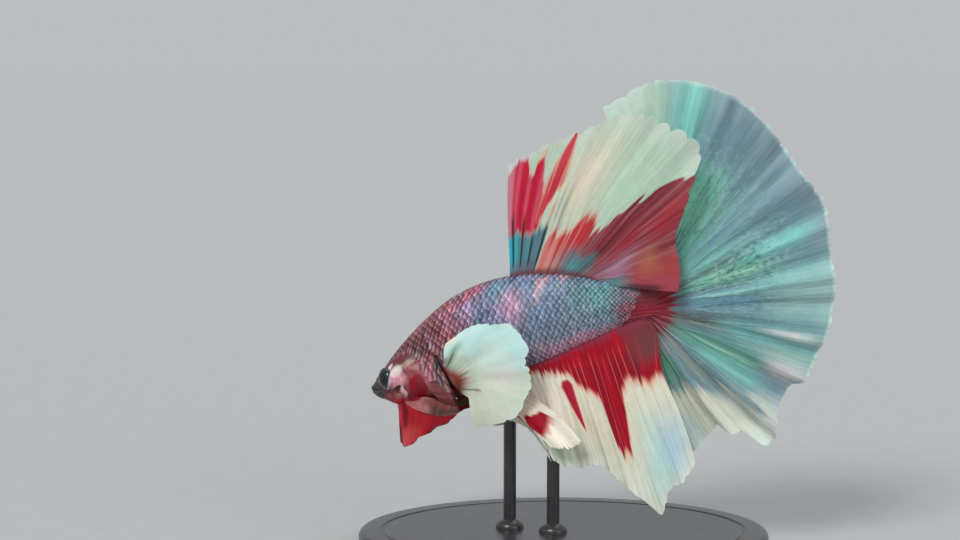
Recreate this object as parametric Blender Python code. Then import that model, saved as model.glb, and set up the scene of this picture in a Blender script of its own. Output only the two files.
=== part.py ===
"""Halfmoon betta fish, life size, fins spread and gills open, in a C bend away from its left side.

Metres, +Z up. The fish heads towards -X, shows its left side to -Y and turns its head away to +Y. The
origin is the centre of the underside of the stand, a flat oval base with two rods that reach the belly.

A place on the body is (t, around): t runs from 0 at the snout to 1 at the root of the tail fin, and
around is the angle from the back, over the left side at 90 degrees, to the belly at 180. The fins are
fans of rays: each is a grid of rays by steps along the ray, given its thickness by Solidify.
"""

import math
from functools import partial

import bmesh
import bpy
from mathutils import Vector
from mathutils.bvhtree import BVHTree

MM = 0.001

# Body
STANDARD_LENGTH = 45.5 * MM
TAIL_ROOT = Vector((11.0, -5.0, 35.7)) * MM
# t and the angle in degrees by which the body turns away from the XZ plane, nods and rolls there
YAW = ((0, 34), (0.3, 34), (0.45, 31), (0.6, 23), (0.8, 9), (1, 2))
PITCH = ((0, 29), (0.3, 28), (0.55, 19), (0.8, 9), (1, 4))
ROLL = ((0, 0), (0.5, 3), (1, 0))
# t, height above the midline, depth below it and half width, in millimetres
SECTIONS = (
    (0.00, 0.7, 0.9, 0.9),
    (0.05, 1.8, 2.3, 1.8),
    (0.11, 2.9, 3.5, 2.8),
    (0.19, 4.2, 4.6, 3.5),
    (0.30, 5.6, 5.9, 3.8),
    (0.42, 6.7, 6.5, 3.7),
    (0.56, 6.9, 6.6, 3.3),
    (0.70, 6.2, 5.8, 2.7),
    (0.82, 4.8, 4.4, 2.0),
    (0.92, 3.3, 3.0, 1.4),
    (1.00, 2.5, 2.1, 0.9),
)
GAP = 0.3 * MM
SPINE_STEPS = 120

# Fins: every row is one guide ray, as (place along the fin's root, angle, length in mm, curl), and the
# rays between are read from smooth curves through the rows. Angles are in degrees above +X, seen from
# the left side, and curl is how far a ray turns by its tip.
FIN_THICKNESS = 0.55 * MM
DORSAL_ROOT = (0.615, 0.865)
DORSAL_RAYS = (
    (0.00, 94, 15.3, -8),
    (0.15, 85, 17.8, -10),
    (0.30, 74, 21.4, -10),
    (0.45, 68, 24.5, -8),
    (0.60, 59, 24.8, -6),
    (0.72, 46, 24.2, 0),
    (0.85, 35, 17.4, 4),
    (0.93, 22, 12.4, 4),
    (1.00, -12, 11.0, 10),
)
ANAL_ROOT = (0.50, 0.955)
ANAL_RAYS = (
    (0.00, -60, 5.9, -4),
    (0.10, -65, 9.0, -6),
    (0.20, -70, 12.8, -6),
    (0.35, -71, 14.9, -4),
    (0.50, -69, 16.2, -4),
    (0.62, -71, 19.1, -4),
    (0.72, -72, 22.2, -2),
    (0.79, -71, 25.0, 0),
    (0.86, -70, 23.1, 2),
    (0.93, -64, 22.6, -8),
    (1.00, -54, 20.5, -22),
)
CAUDAL_RAYS = (
    (0.00, 99, 25.1, 8),
    (0.09, 84, 28.9, 4),
    (0.22, 65, 29.6, 0),
    (0.36, 41, 27.4, 0),
    (0.42, 30, 27.8, 0),
    (0.48, 20, 26.4, 0),
    (0.60, 1, 25.6, 0),
    (0.68, -13, 24.5, 0),
    (0.75, -25, 23.8, 2),
    (0.80, -37, 23.1, 4),
    (0.87, -50, 25.2, 6),
    (0.94, -64, 19.7, 12),
    (1.00, -79, 19.7, 18),
)
PECTORAL_RAYS = (
    (0.00, 83, 2.9, 0),
    (0.10, 57, 5.2, 0),
    (0.25, 27, 8.9, 0),
    (0.40, 10, 12.5, 0),
    (0.55, -7, 14.6, 0),
    (0.70, -23, 14.8, 0),
    (0.82, -38, 14.0, 0),
    (0.90, -54, 10.4, 0),
    (1.00, -80, 7.0, 0),
)

# Head
EYE_PLACE = (0.105, 82)
EYE_RADIUS = 1.65 * MM
EYE_HALF_DEPTH = 1.05 * MM
EYE_SUNK = 0.35 * MM
EYE_FORWARD = math.radians(28)
JAW_END = 0.06
MOUTH_LINE = ((0, 0.35), (0.05, -0.5), (0.12, -1.8))
HEAD_END, TRUNK_MIDDLE, TRUNK_END = 0.34, 0.58, 0.82
# Where the head is drawn in under the gill covers: t and how far, in millimetres
GILL_RECESS = ((0.10, 0), (0.21, 0), (0.25, 0.8), (0.31, 1.1), (0.36, 0.3))
GILL_HINGE = (0.20, 0.225)
GILL_TOP, GILL_BOTTOM = 84, 156
GILL_FLARE = math.radians(14)
# How far a cover sinks towards its lower corner, for each metre that it reaches back
GILL_DROOP = 0.65
GILL_LENGTHS = ((0, 4.8), (0.25, 6.3), (0.5, 6.5), (0.75, 5.7), (1, 3.9))
COVER_THICKNESS = 0.6 * MM
BEARD_START = 0.075
BEARD_RAYS = (
    (0.00, 8, 5.8, 0),
    (0.12, 6, 6.1, 0),
    (0.40, 3, 3.7, 0),
    (0.70, -4, 2.0, 0),
    (1.00, -30, 1.0, 0),
)
# The right membrane is drawn up shorter than the left one
BEARD_REACH = {1: 1.0, -1: 0.72}

PECTORAL_ROOT = ((0.365, 112), (0.395, 150))
PECTORAL_SPREAD = {"left": math.radians(6), "right": math.radians(45)}
PELVIC_PLACE = (0.43, 164)
# How far a pelvic fin leans to the fish's left for each metre of ray
PELVIC_LEAN = {"left": 0.25, "right": 0.06}
PELVIC_RAYS = {
    "left": ((0, -30, 13.5, -10), (0.5, -18, 15.5, -25), (1, 0, 16.5, -50)),
    "right": ((0, -70, 5.0, 0), (0.35, -50, 7.2, -4), (0.7, -47, 11.2, -6), (1, -49, 13.4, -8)),
}

# Stand
BASE_SIZE = Vector((58, 44, 3)) * MM
BASE_EDGE = 0.8 * MM
ROD_RADIUS = 0.9 * MM
# t and how far to the right of the midline, in millimetres
ROD_FRONT, ROD_REAR = (0.55, 2.0), (0.71, 1.6)


def lerp(a, b, s):
    return a + (b - a) * s


def through(rows, x, column=1):
    """The value at x of a smooth curve through (x, value, ...) rows."""
    xs = [row[0] for row in rows]
    ys = [row[column] for row in rows]
    x = min(max(x, xs[0]), xs[-1])
    i = min(max(sum(x > known for known in xs) - 1, 0), len(xs) - 2)

    def slope(k):
        low, high = max(k - 1, 0), min(k + 1, len(xs) - 1)
        return (ys[high] - ys[low]) / (xs[high] - xs[low])

    width = xs[i + 1] - xs[i]
    s = (x - xs[i]) / width
    return (
        (2 * s**3 - 3 * s**2 + 1) * ys[i]
        + (s**3 - 2 * s**2 + s) * width * slope(i)
        + (3 * s**2 - 2 * s**3) * ys[i + 1]
        + (s**3 - s**2) * width * slope(i + 1)
    )


def axes(t):
    """(forward, left, up) of the body at t."""
    yaw = math.radians(through(YAW, t))
    pitch = math.radians(through(PITCH, t))
    roll = math.radians(through(ROLL, t))
    forward = Vector(
        (
            -math.cos(yaw) * math.cos(pitch),
            math.sin(yaw) * math.cos(pitch),
            -math.sin(pitch),
        )
    )
    level = Vector((-math.sin(yaw), -math.cos(yaw), 0))
    upright = forward.cross(level)
    left = level * math.cos(roll) + upright * math.sin(roll)
    return forward, left, forward.cross(left)


def spine():
    """The midline's points from the root of the tail fin forward to the snout."""
    points = [TAIL_ROOT.copy()]
    for i in range(SPINE_STEPS):
        middle = 1 - (i + 0.5) / SPINE_STEPS
        step = STANDARD_LENGTH / SPINE_STEPS
        points.append(points[-1] + axes(middle)[0] * step)
    return points


MIDLINE = spine()


def midline(t):
    place = (1 - t) * SPINE_STEPS
    i = min(max(int(place), 0), SPINE_STEPS - 1)
    return MIDLINE[i].lerp(MIDLINE[i + 1], place - i)


def body_point(t, around, out=0.0):
    """A point of the skin at t and the angle around, moved out from it."""
    _, left, up = axes(t)
    height = through(SECTIONS, t, 1) * MM
    depth = through(SECTIONS, t, 2) * MM
    half = through(SECTIONS, t, 3) * MM
    c, s = math.cos(math.radians(around)), math.sin(math.radians(around))
    rise = height * c if c > 0 else depth * c
    side = half * math.copysign(abs(s) ** 1.15, s)
    outward = left * (s / half) + up * (c / (height if c > 0 else depth))
    return midline(t) + left * side + up * rise + outward.normalized() * out


def add_object(name, mesh, material):
    obj = bpy.data.objects.new(name, mesh)
    bpy.context.scene.collection.objects.link(obj)
    mesh.materials.append(material)
    mesh.shade_smooth()
    mesh.set_sharp_from_angle(angle=math.radians(50))
    return obj


def paint(name, colour, roughness=0.4):
    material = bpy.data.materials.new(name)
    material.use_nodes = True
    shader = material.node_tree.nodes["Principled BSDF"]
    shader.inputs["Base Color"].default_value = (*colour, 1)
    shader.inputs["Roughness"].default_value = roughness
    return material


def loft(name, rings, material):
    """A closed solid through rings of points, its ends capped flat."""
    form = bmesh.new()
    made = [[form.verts.new(point) for point in ring] for ring in rings]
    for ring in (made[0], made[-1]):
        form.faces.new(ring)
    count = len(made[0])
    for first, second in zip(made, made[1:]):
        for i in range(count):
            j = (i + 1) % count
            form.faces.new((first[i], first[j], second[j], second[i]))
    bmesh.ops.recalc_face_normals(form, faces=form.faces)
    mesh = bpy.data.meshes.new(name)
    form.to_mesh(mesh)
    form.free()
    return add_object(name, mesh, material)


def body_length(name, start, end, rings, sides, material):
    """The length of body between two places, short of its neighbours by half the gap."""
    start += GAP / 2 / STANDARD_LENGTH
    end -= GAP / 2 / STANDARD_LENGTH
    places = [start + (end - start) * i / rings for i in range(rings + 1)]
    turns = [360 * k / sides for k in range(sides)]
    return loft(name, [[body_point(t, a) for a in turns] for t in places], material)


def sheet(name, point, across, along, thickness, material):
    """A sheet of even thickness: point(u, v) is its middle surface for u and v from 0 to 1."""
    form = bmesh.new()
    grid = [
        [form.verts.new(point(i / across, j / along)) for j in range(along + 1)]
        for i in range(across + 1)
    ]
    for i in range(across):
        for j in range(along):
            corners = grid[i][j], grid[i][j + 1], grid[i + 1][j + 1], grid[i + 1][j]
            form.faces.new(corners)
    mesh = bpy.data.meshes.new(name)
    form.to_mesh(mesh)
    form.free()
    obj = add_object(name, mesh, material)
    solidify = obj.modifiers.new("thickness", "SOLIDIFY")
    solidify.thickness = thickness
    solidify.offset = 0
    return obj


def median_y(x):
    """Where the body's bent midplane is along Y at x, carried straight on behind the body."""
    for back, front in zip(MIDLINE, MIDLINE[1:]):
        if x > front.x:
            return lerp(back.y, front.y, (x - back.x) / (front.x - back.x))
    return MIDLINE[-1].y


def mouth_angle(t, clearance):
    """The angle from the back, or from the belly, at which the skin meets the mouth's line."""
    rise = through(MOUTH_LINE, t) * MM + clearance
    reach = through(SECTIONS, t, 1 if rise > 0 else 2) * MM
    return math.degrees(math.acos(min(max(rise / reach, -0.95), 0.95)))


def jaw(name, lower, material):
    rings = []
    for i in range(6):
        t = JAW_END * i / 5 - GAP / 2 / STANDARD_LENGTH * (i == 5)
        if lower:
            first = mouth_angle(t, -GAP / 2)
            turns = [lerp(first, 360 - first, k / 15) for k in range(16)]
        else:
            first = mouth_angle(t, GAP / 2)
            turns = [lerp(-first, first, k / 15) for k in range(16)]
        rings.append([body_point(t, a) for a in turns])
    return loft(name, rings, material)


def eye_frame(side):
    """(centre, axis outward, forward, up) of an eye; side is 1 for the left and -1 for the right."""
    t, around = EYE_PLACE
    forward, left, up = axes(t)
    outward = left * side
    axis = (outward + forward * math.tan(EYE_FORWARD) + up * 0.12).normalized()
    ahead = (forward - axis * forward.dot(axis)).normalized()
    centre = body_point(t, around * side, out=-EYE_SUNK)
    return centre, axis, ahead, ahead.cross(axis) * side


def eyeball(name, side, grow, material):
    centre, axis, ahead, above = eye_frame(side)
    form = bmesh.new()
    bmesh.ops.create_uvsphere(form, u_segments=16, v_segments=8, radius=1)
    for vert in form.verts:
        x, y, z = vert.co
        wide, deep = EYE_RADIUS + grow, EYE_HALF_DEPTH + grow
        vert.co = centre - ahead * side * x * wide + above * y * wide + axis * z * deep
    bmesh.ops.recalc_face_normals(form, faces=form.faces)
    mesh = bpy.data.meshes.new(name)
    form.to_mesh(mesh)
    form.free()
    return add_object(name, mesh, material)


def cut(obj, cutter):
    """Cuts one object's shape out of another, as a modifier that stays live."""
    cutter.hide_render = True
    cutter.hide_viewport = True
    boolean = obj.modifiers.new("cut", "BOOLEAN")
    boolean.object = cutter
    boolean.solver = "EXACT"


def head(material):
    start = JAW_END + GAP / 2 / STANDARD_LENGTH
    end = HEAD_END - GAP / 2 / STANDARD_LENGTH
    rings = []
    for i in range(11):
        t = lerp(start, end, i / 10)
        ring = []
        for k in range(28):
            around = 360 * k / 28
            flank = math.sin(math.radians(min(max((abs(around - 180) - 25) * 1.45, 0), 180)))
            ring.append(body_point(t, around, out=-through(GILL_RECESS, t) * MM * flank))
        rings.append(ring)
    skull = loft("head", rings, material)
    for side in (1, -1):
        cut(skull, eyeball("socket_cutter", side, GAP, material))
    return skull


def gill_point(side, u, v):
    """A point of a gill cover: u runs back from its hinge and v down it."""
    t = lerp(*GILL_HINGE, v)
    around = lerp(GILL_TOP, GILL_BOTTOM, v)
    hinge = body_point(t, around * side, out=GAP + COVER_THICKNESS / 2)
    forward, left, up = axes(t)
    tilt = math.radians(around - 90)
    outward = left * side * math.cos(tilt) - up * math.sin(tilt) * 0.6
    flare = GILL_FLARE * (1.1 - 0.3 * u)
    reach = through(GILL_LENGTHS, v) * MM * u
    bow = math.sin(math.pi * v) * 0.5 * MM * u
    back = -forward - up * GILL_DROOP * v * v
    return hinge + back * math.cos(flare) * reach + outward * (math.sin(flare) * reach + bow)


def beard_point(side, u, v):
    """A point of the gill membrane that hangs as a beard: u runs back from the chin and v down."""
    chin = body_point(BEARD_START, 172 * side, out=GAP * 1.6 + 0.25 * MM)
    forward, left, up = axes(0.2)
    corner = gill_point(side, 1, 1) - up * 0.8 * MM
    angle = math.radians(through(BEARD_RAYS, u, 1))
    reach = through(BEARD_RAYS, u, 2) * BEARD_REACH[side] * MM * v
    spread = left * side * reach * lerp(0.12, 0.6, u)
    sag = up * math.sin(math.pi * u) * 0.7 * MM
    down = Vector((0, 0, -math.cos(angle))) - forward * math.sin(angle)
    return chin.lerp(corner, u) - sag + down * reach + spread


def ray_reach(rows, u, v):
    """(across, up) of a point of a fan of rays from the ray's root, in metres."""
    angle = math.radians(through(rows, u, 1) + through(rows, u, 3) * v / 2)
    reach = through(rows, u, 2) * MM * v
    return math.cos(angle) * reach, math.sin(angle) * reach


def pleat(u, v, count, depth):
    return math.cos(2 * math.pi * count * u) * depth * v * v


def dorsal_point(u, v):
    root = body_point(lerp(*DORSAL_ROOT, u), 0, out=GAP)
    across, rise = ray_reach(DORSAL_RAYS, u, v)
    lean = -0.24 * u * math.hypot(across, rise)
    bend = median_y(root.x + across) - median_y(root.x)
    return root + Vector((across, lean + bend + pleat(u, v, 7, 0.45 * MM), rise))


def anal_point(u, v):
    root = body_point(lerp(*ANAL_ROOT, u), 180, out=GAP)
    across, rise = ray_reach(ANAL_RAYS, u, v)
    lean = -0.14 * math.hypot(across, rise)
    bend = median_y(root.x + across) - median_y(root.x)
    return root + Vector((across, lean + bend + pleat(u, v, 9, 0.45 * MM), rise))


def caudal_point(u, v):
    forward, _, up = axes(1)
    root = TAIL_ROOT - forward * GAP + up * lerp(2.3, -2.4, u) * MM
    across, rise = ray_reach(CAUDAL_RAYS, u, v)
    away = 0.20 * abs(2 * u - 1) ** 2 * math.hypot(across, rise)
    bend = median_y(root.x + across) - median_y(root.x)
    return root + Vector((across, away + bend + pleat(u, v, 12, 0.5 * MM), rise))


def pectoral_point(side, u, v):
    (t0, around0), (t1, around1) = PECTORAL_ROOT
    turn = 1 if side == "left" else -1
    t, around = lerp(t0, t1, u), lerp(around0, around1, u)
    root = body_point(t, around * turn, out=GAP + FIN_THICKNESS / 2)
    forward, left, up = axes(t0)
    spread = PECTORAL_SPREAD[side]
    back = left * turn * math.sin(spread) - forward * math.cos(spread)
    across, rise = ray_reach(PECTORAL_RAYS, u, v)
    bow = left * turn * math.sin(math.pi * v) * 0.6 * MM
    ripple = left * turn * pleat(u, v, 5, 0.35 * MM)
    return root + back * across + Vector((0, 0, rise)) + bow + ripple


def pelvic_point(side, u, v):
    turn = 1 if side == "left" else -1
    t, around = PELVIC_PLACE
    root = body_point(t + 0.02 * u, around * turn, out=GAP + FIN_THICKNESS / 2)
    _, left, _ = axes(t)
    across, rise = ray_reach(PELVIC_RAYS[side], u, v)
    bend = median_y(root.x + across) - median_y(root.x)
    lean = left * PELVIC_LEAN[side] * math.hypot(across, rise)
    return root + Vector((across, bend, rise)) + lean


def base(material):
    """A flat oval with a chamfered upper edge."""
    x, y, z = BASE_SIZE / 2
    rings = []
    for inset, height in ((0, 0), (0, 2 * z - BASE_EDGE), (BASE_EDGE, 2 * z)):
        turns = [2 * math.pi * k / 48 for k in range(48)]
        rings.append(
            [Vector(((x - inset) * math.cos(a), (y - inset) * math.sin(a), height)) for a in turns]
        )
    return loft("stand_base", rings, material)


def rod(name, place, above, material):
    """A rod from the base to the belly, its top cut to the belly's slope and a gap short of it."""
    t, aside = place
    centre = midline(t) - axes(t)[1] * aside * MM
    turns = [2 * math.pi * k / 16 for k in range(16)]
    foot = [
        Vector((centre.x + ROD_RADIUS * math.cos(a), centre.y + ROD_RADIUS * math.sin(a), 0))
        for a in turns
    ]
    foot = [point + Vector((0, 0, BASE_SIZE.z + GAP)) for point in foot]
    corners = [vert.co for vert in above.data.vertices]
    shape = BVHTree.FromPolygons(corners, [face.vertices for face in above.data.polygons])
    top = []
    for point in foot:
        hit = shape.ray_cast(point, Vector((0, 0, 1)))[0]
        top.append(hit - Vector((0, 0, GAP * 1.6)))
    return loft(name, [foot, top], material)


def build():
    maroon = paint("skin_maroon", (0.22, 0.03, 0.06))
    steel = paint("skin_steel_blue", (0.10, 0.16, 0.30), 0.32)
    cheek = paint("skin_cheek", (0.42, 0.16, 0.15))
    red = paint("membrane_red", (0.45, 0.02, 0.03))
    teal = paint("fin_teal", (0.16, 0.50, 0.46))
    cream = paint("fin_cream", (0.74, 0.74, 0.64))
    crimson = paint("fin_red", (0.45, 0.03, 0.05))
    dark = paint("eye_dark", (0.03, 0.03, 0.025), 0.08)
    black = paint("stand_black", (0.02, 0.02, 0.022), 0.35)

    jaw("jaw_upper", False, maroon)
    jaw("jaw_lower", True, maroon)
    head(maroon)
    front = body_length("trunk_front", HEAD_END, TRUNK_MIDDLE, 9, 24, steel)
    rear = body_length("trunk_rear", TRUNK_MIDDLE, TRUNK_END, 9, 24, steel)
    body_length("tail_stem", TRUNK_END, 1, 7, 20, maroon)
    for side, turn in (("left", 1), ("right", -1)):
        eyeball("eye_" + side, turn, 0, dark)
        cover = COVER_THICKNESS
        sheet("gill_cover_" + side, partial(gill_point, turn), 6, 9, cover, cheek)
        sheet("gill_membrane_" + side, partial(beard_point, turn), 10, 6, 0.5 * MM, red)
        fin = FIN_THICKNESS
        sheet("pectoral_fin_" + side, partial(pectoral_point, side), 20, 6, fin, cream)
        sheet("pelvic_fin_" + side, partial(pelvic_point, side), 6, 7, fin, cream)
    sheet("dorsal_fin", dorsal_point, 28, 7, FIN_THICKNESS, teal)
    sheet("anal_fin", anal_point, 36, 7, FIN_THICKNESS, crimson)
    sheet("caudal_fin", caudal_point, 48, 7, FIN_THICKNESS, teal)
    base(black)
    rod("stand_rod_front", ROD_FRONT, front, black)
    rod("stand_rod_rear", ROD_REAR, rear, black)


def clear():
    for obj in list(bpy.data.objects):
        bpy.data.objects.remove(obj)


clear()
build()
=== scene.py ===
"""Halfmoon betta fish on a plain display stand: one operator for each piece, run in order by main().

Metres, +Z up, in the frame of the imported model. The fish heads towards -X, shows its left side to -Y
and turns its head away. A place on the body is (t, around): t runs from 0 at the snout to 1 at the root
of the tail fin, and around is the angle in degrees from the back, over the left side at 90, to the belly
at 180; the right side has negative angles. A place on a fin is (u, v): u runs along the fin's root from
its first ray to its last, and v out along the rays.
"""

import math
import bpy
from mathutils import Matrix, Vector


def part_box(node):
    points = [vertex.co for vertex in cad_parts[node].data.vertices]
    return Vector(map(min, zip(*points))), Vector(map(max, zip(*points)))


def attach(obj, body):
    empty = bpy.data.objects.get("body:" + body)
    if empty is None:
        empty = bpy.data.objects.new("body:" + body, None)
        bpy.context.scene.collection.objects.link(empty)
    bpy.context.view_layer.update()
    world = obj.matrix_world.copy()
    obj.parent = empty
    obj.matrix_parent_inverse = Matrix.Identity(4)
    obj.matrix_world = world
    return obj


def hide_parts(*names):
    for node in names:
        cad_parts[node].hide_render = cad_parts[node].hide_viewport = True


bl_info = {
    "name": "Halfmoon Betta",
    "version": (1, 0, 0),
    "blender": (4, 5, 0),
    "location": "View3D > Sidebar > Betta",
    "description": "Models a halfmoon betta fish with spread fins on a display stand",
    "category": "Add Mesh",
}

import bpy
import numpy as np
from bpy.props import FloatProperty, FloatVectorProperty, IntProperty, PointerProperty
from mathutils import Vector

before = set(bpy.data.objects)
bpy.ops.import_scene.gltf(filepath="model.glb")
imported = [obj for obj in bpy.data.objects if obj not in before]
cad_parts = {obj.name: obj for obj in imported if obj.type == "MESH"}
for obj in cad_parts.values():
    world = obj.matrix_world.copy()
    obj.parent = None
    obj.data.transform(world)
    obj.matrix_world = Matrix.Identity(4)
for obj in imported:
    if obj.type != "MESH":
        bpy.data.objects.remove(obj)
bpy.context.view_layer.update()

MM = 0.001

# ---------------------------------------------------------------- shape of the fish, as in its solids

LENGTH_MM = 45.5
STANDARD_LENGTH = LENGTH_MM * MM
TAIL_ROOT = np.array((11.0, -5.0, 35.7)) * MM
SPINE_STEPS = 120
GAP = 0.3 * MM
SIDES = (("left", 1), ("right", -1))
NOISE_CELLS = 64
THICKNESS_LEVELS = 100
# t and the angle in degrees by which the body turns away from the XZ plane, nods and rolls there
YAW = ((0, 34), (0.3, 34), (0.45, 31), (0.6, 23), (0.8, 9), (1, 2))
PITCH = ((0, 29), (0.3, 28), (0.55, 19), (0.8, 9), (1, 4))
ROLL = ((0, 0), (0.5, 3), (1, 0))
# t, height above the midline, depth below it and half width, in millimetres
SECTIONS = (
    (0.00, 0.7, 0.9, 0.9),
    (0.05, 1.8, 2.3, 1.8),
    (0.11, 2.9, 3.5, 2.8),
    (0.19, 4.2, 4.6, 3.5),
    (0.30, 5.6, 5.9, 3.8),
    (0.42, 6.7, 6.5, 3.7),
    (0.56, 6.9, 6.6, 3.3),
    (0.70, 6.2, 5.8, 2.7),
    (0.82, 4.8, 4.4, 2.0),
    (0.92, 3.3, 3.0, 1.4),
    (1.00, 2.5, 2.1, 0.9),
)
MOUTH_LINE = ((0, 0.35), (0.05, -0.5), (0.12, -1.8))

# The gill cover: t of its hinge at the top and bottom, its angles, and its lengths in millimetres
GILL_HINGE = (0.20, 0.225)
GILL_TOP, GILL_BOTTOM = 84, 156
# Angles between which the cover comes free of the skin at its top, and joins it again at its foot
FREE_TOP, FREE_FOOT = (80, 90), (152, 168)
GILL_FLARE = math.radians(14)
GILL_DROOP = 0.65
GILL_LENGTHS = ((0, 4.8), (0.25, 6.3), (0.5, 6.5), (0.75, 5.7), (1, 3.9))
GILL_RECESS = ((0.10, 0), (0.21, 0), (0.25, 0.8), (0.31, 1.1), (0.36, 0.3))
COVER_THICKNESS = 0.6 * MM
SHOULDER = 0.355

EYE_PLACE = (0.105, 82)
EYE_RADIUS = 1.65 * MM
EYE_HALF_DEPTH = 1.05 * MM
EYE_SUNK = 0.35 * MM
EYE_FORWARD = math.radians(28)
# How much smaller the visual eyeball is than its solid
EYE_FIT = 0.99

FIN_THICKNESS = 0.55 * MM
# How far under the skin the fins start
ROOT_DEPTH = 0.7 * MM
# Rows of guide rays: place along the root, angle above +X, length in mm, and how far it curls
DORSAL_ROOT = (0.615, 0.865)
DORSAL_RAYS = (
    (0.00, 94, 15.3, -8),
    (0.15, 85, 17.8, -10),
    (0.30, 74, 21.4, -10),
    (0.45, 68, 24.5, -8),
    (0.60, 59, 24.8, -6),
    (0.72, 46, 24.2, 0),
    (0.85, 35, 17.4, 4),
    (0.93, 22, 12.4, 4),
    (1.00, -20, 11.0, 22),
)
ANAL_ROOT = (0.50, 0.955)
ANAL_RAYS = (
    (0.00, -60, 5.9, -4),
    (0.10, -65, 9.0, -6),
    (0.20, -70, 12.8, -6),
    (0.35, -71, 14.9, -4),
    (0.50, -69, 16.2, -4),
    (0.62, -71, 19.1, -4),
    (0.72, -72, 22.2, -2),
    (0.79, -71, 25.0, 0),
    (0.86, -70, 23.1, 2),
    (0.93, -64, 22.6, -8),
    (1.00, -54, 20.5, -22),
)
CAUDAL_RAYS = (
    (0.00, 99, 25.1, 8),
    (0.09, 84, 28.9, 4),
    (0.22, 65, 29.6, 0),
    (0.36, 41, 27.4, 0),
    (0.42, 30, 27.8, 0),
    (0.48, 20, 26.4, 0),
    (0.60, 1, 25.6, 0),
    (0.68, -13, 24.5, 0),
    (0.75, -25, 23.8, 2),
    (0.80, -37, 23.1, 4),
    (0.87, -50, 25.2, 6),
    (0.94, -64, 19.7, 12),
    (1.00, -79, 19.7, 18),
)
# The right membrane is drawn up shorter than the left one
BEARD_REACH = {1: 1.0, -1: 0.72}

PECTORAL_ROOT = ((0.365, 112), (0.395, 150))
PECTORAL_SPREAD = {1: math.radians(6), -1: math.radians(45)}
PECTORAL_RAYS = (
    (0.00, 83, 2.9, 0),
    (0.10, 57, 5.2, 0),
    (0.25, 27, 8.9, 0),
    (0.40, 10, 12.5, 0),
    (0.55, -7, 14.6, 0),
    (0.70, -23, 14.8, 0),
    (0.82, -38, 14.0, 0),
    (0.90, -54, 10.4, 0),
    (1.00, -80, 7.0, 0),
)
PELVIC_PLACE = (0.43, 164)
PELVIC_WIDTH = 0.02
PELVIC_LEAN = {1: 0.25, -1: 0.06}
PELVIC_RAYS = {
    1: ((0, -30, 13.5, -10), (0.5, -18, 15.5, -25), (1, 0, 16.5, -50)),
    -1: ((0, -70, 5.0, 0), (0.35, -50, 7.2, -4), (0.7, -47, 11.2, -6), (1, -49, 13.4, -8)),
}
BEARD_START, BEARD_HINGE = 0.075, 0.2
BEARD_RAYS = ((0, 8, 5.8), (0.12, 6, 6.1), (0.4, 3, 3.7), (0.7, -4, 2.0), (1, -30, 1.0))

# Where margins are cut back: place along the fin and the share of the ray that is left there
CAUDAL_EDGE = (
    (0, 1), (0.752, 1), (0.762, 0.95), (0.80, 0.965), (0.85, 1), (0.878, 1), (0.889, 0.86),
    (0.91, 0.93), (0.93, 0.885), (0.945, 0.96), (0.97, 0.985), (0.978, 1), (1, 1),
)
ANAL_EDGE = (
    (0, 1), (0.27, 1), (0.30, 0.965), (0.345, 0.985), (0.365, 1), (0.42, 0.97), (0.52, 0.98),
    (0.60, 1), (0.76, 1), (0.785, 1.02), (0.80, 1.0), (0.83, 0.965), (0.93, 0.985), (1, 1),
)


def lerp(a, b, s):
    return a + (b - a) * s


def step(low, high, x):
    """0 below low and 1 above high, smooth between; it falls instead where high is under low."""
    s = np.clip((np.asarray(x, float) - low) / (high - low), 0, 1)
    return s * s * (3 - 2 * s)


def fall(low, high, x):
    """1 below low and 0 above high, smooth between."""
    return 1 - step(low, high, x)


def hill(x, centre, width):
    return np.exp(-(((x - centre) / width) ** 2))


def grain(x, y, seed):
    """Smooth noise from 0 to 1 with one cell for each unit of x and y."""
    table = np.random.default_rng(seed).random((NOISE_CELLS, NOISE_CELLS))
    i, j = np.floor(x).astype(int), np.floor(y).astype(int)
    a, b = x - i, y - j
    a, b = a * a * (3 - 2 * a), b * b * (3 - 2 * b)
    i, j, right, over = (cell % NOISE_CELLS for cell in (i, j, i + 1, j + 1))
    return lerp(lerp(table[i, j], table[right, j], a), lerp(table[i, over], table[right, over], a), b)


def ray_chance(place, seed):
    """A random share from 0 to 1 for each ray."""
    return np.random.default_rng(seed).random(NOISE_CELLS)[np.floor(place).astype(int) % NOISE_CELLS]


def curve(rows, x, column=1):
    """The value at x of a smooth curve through (x, value, ...) rows."""
    xs = np.array([row[0] for row in rows], float)
    ys = np.array([row[column] for row in rows], float)
    low = np.maximum(np.arange(len(xs)) - 1, 0)
    high = np.minimum(np.arange(len(xs)) + 1, len(xs) - 1)
    slopes = (ys[high] - ys[low]) / (xs[high] - xs[low])
    x = np.clip(x, xs[0], xs[-1])
    i = np.clip(np.searchsorted(xs, x) - 1, 0, len(xs) - 2)
    width = xs[i + 1] - xs[i]
    s = (x - xs[i]) / width
    return (
        (2 * s**3 - 3 * s**2 + 1) * ys[i]
        + (s**3 - 2 * s**2 + s) * width * slopes[i]
        + (3 * s**2 - 2 * s**3) * ys[i + 1]
        + (s**3 - s**2) * width * slopes[i + 1]
    )


def straight(rows, x):
    return np.interp(x, [row[0] for row in rows], [row[1] for row in rows])


def column(values):
    return np.asarray(values)[..., None]


def vectors(x, y, z):
    return np.stack(np.broadcast_arrays(x, y, z), -1)


def unit(directions):
    return directions / np.linalg.norm(directions, axis=-1, keepdims=True)


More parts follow.
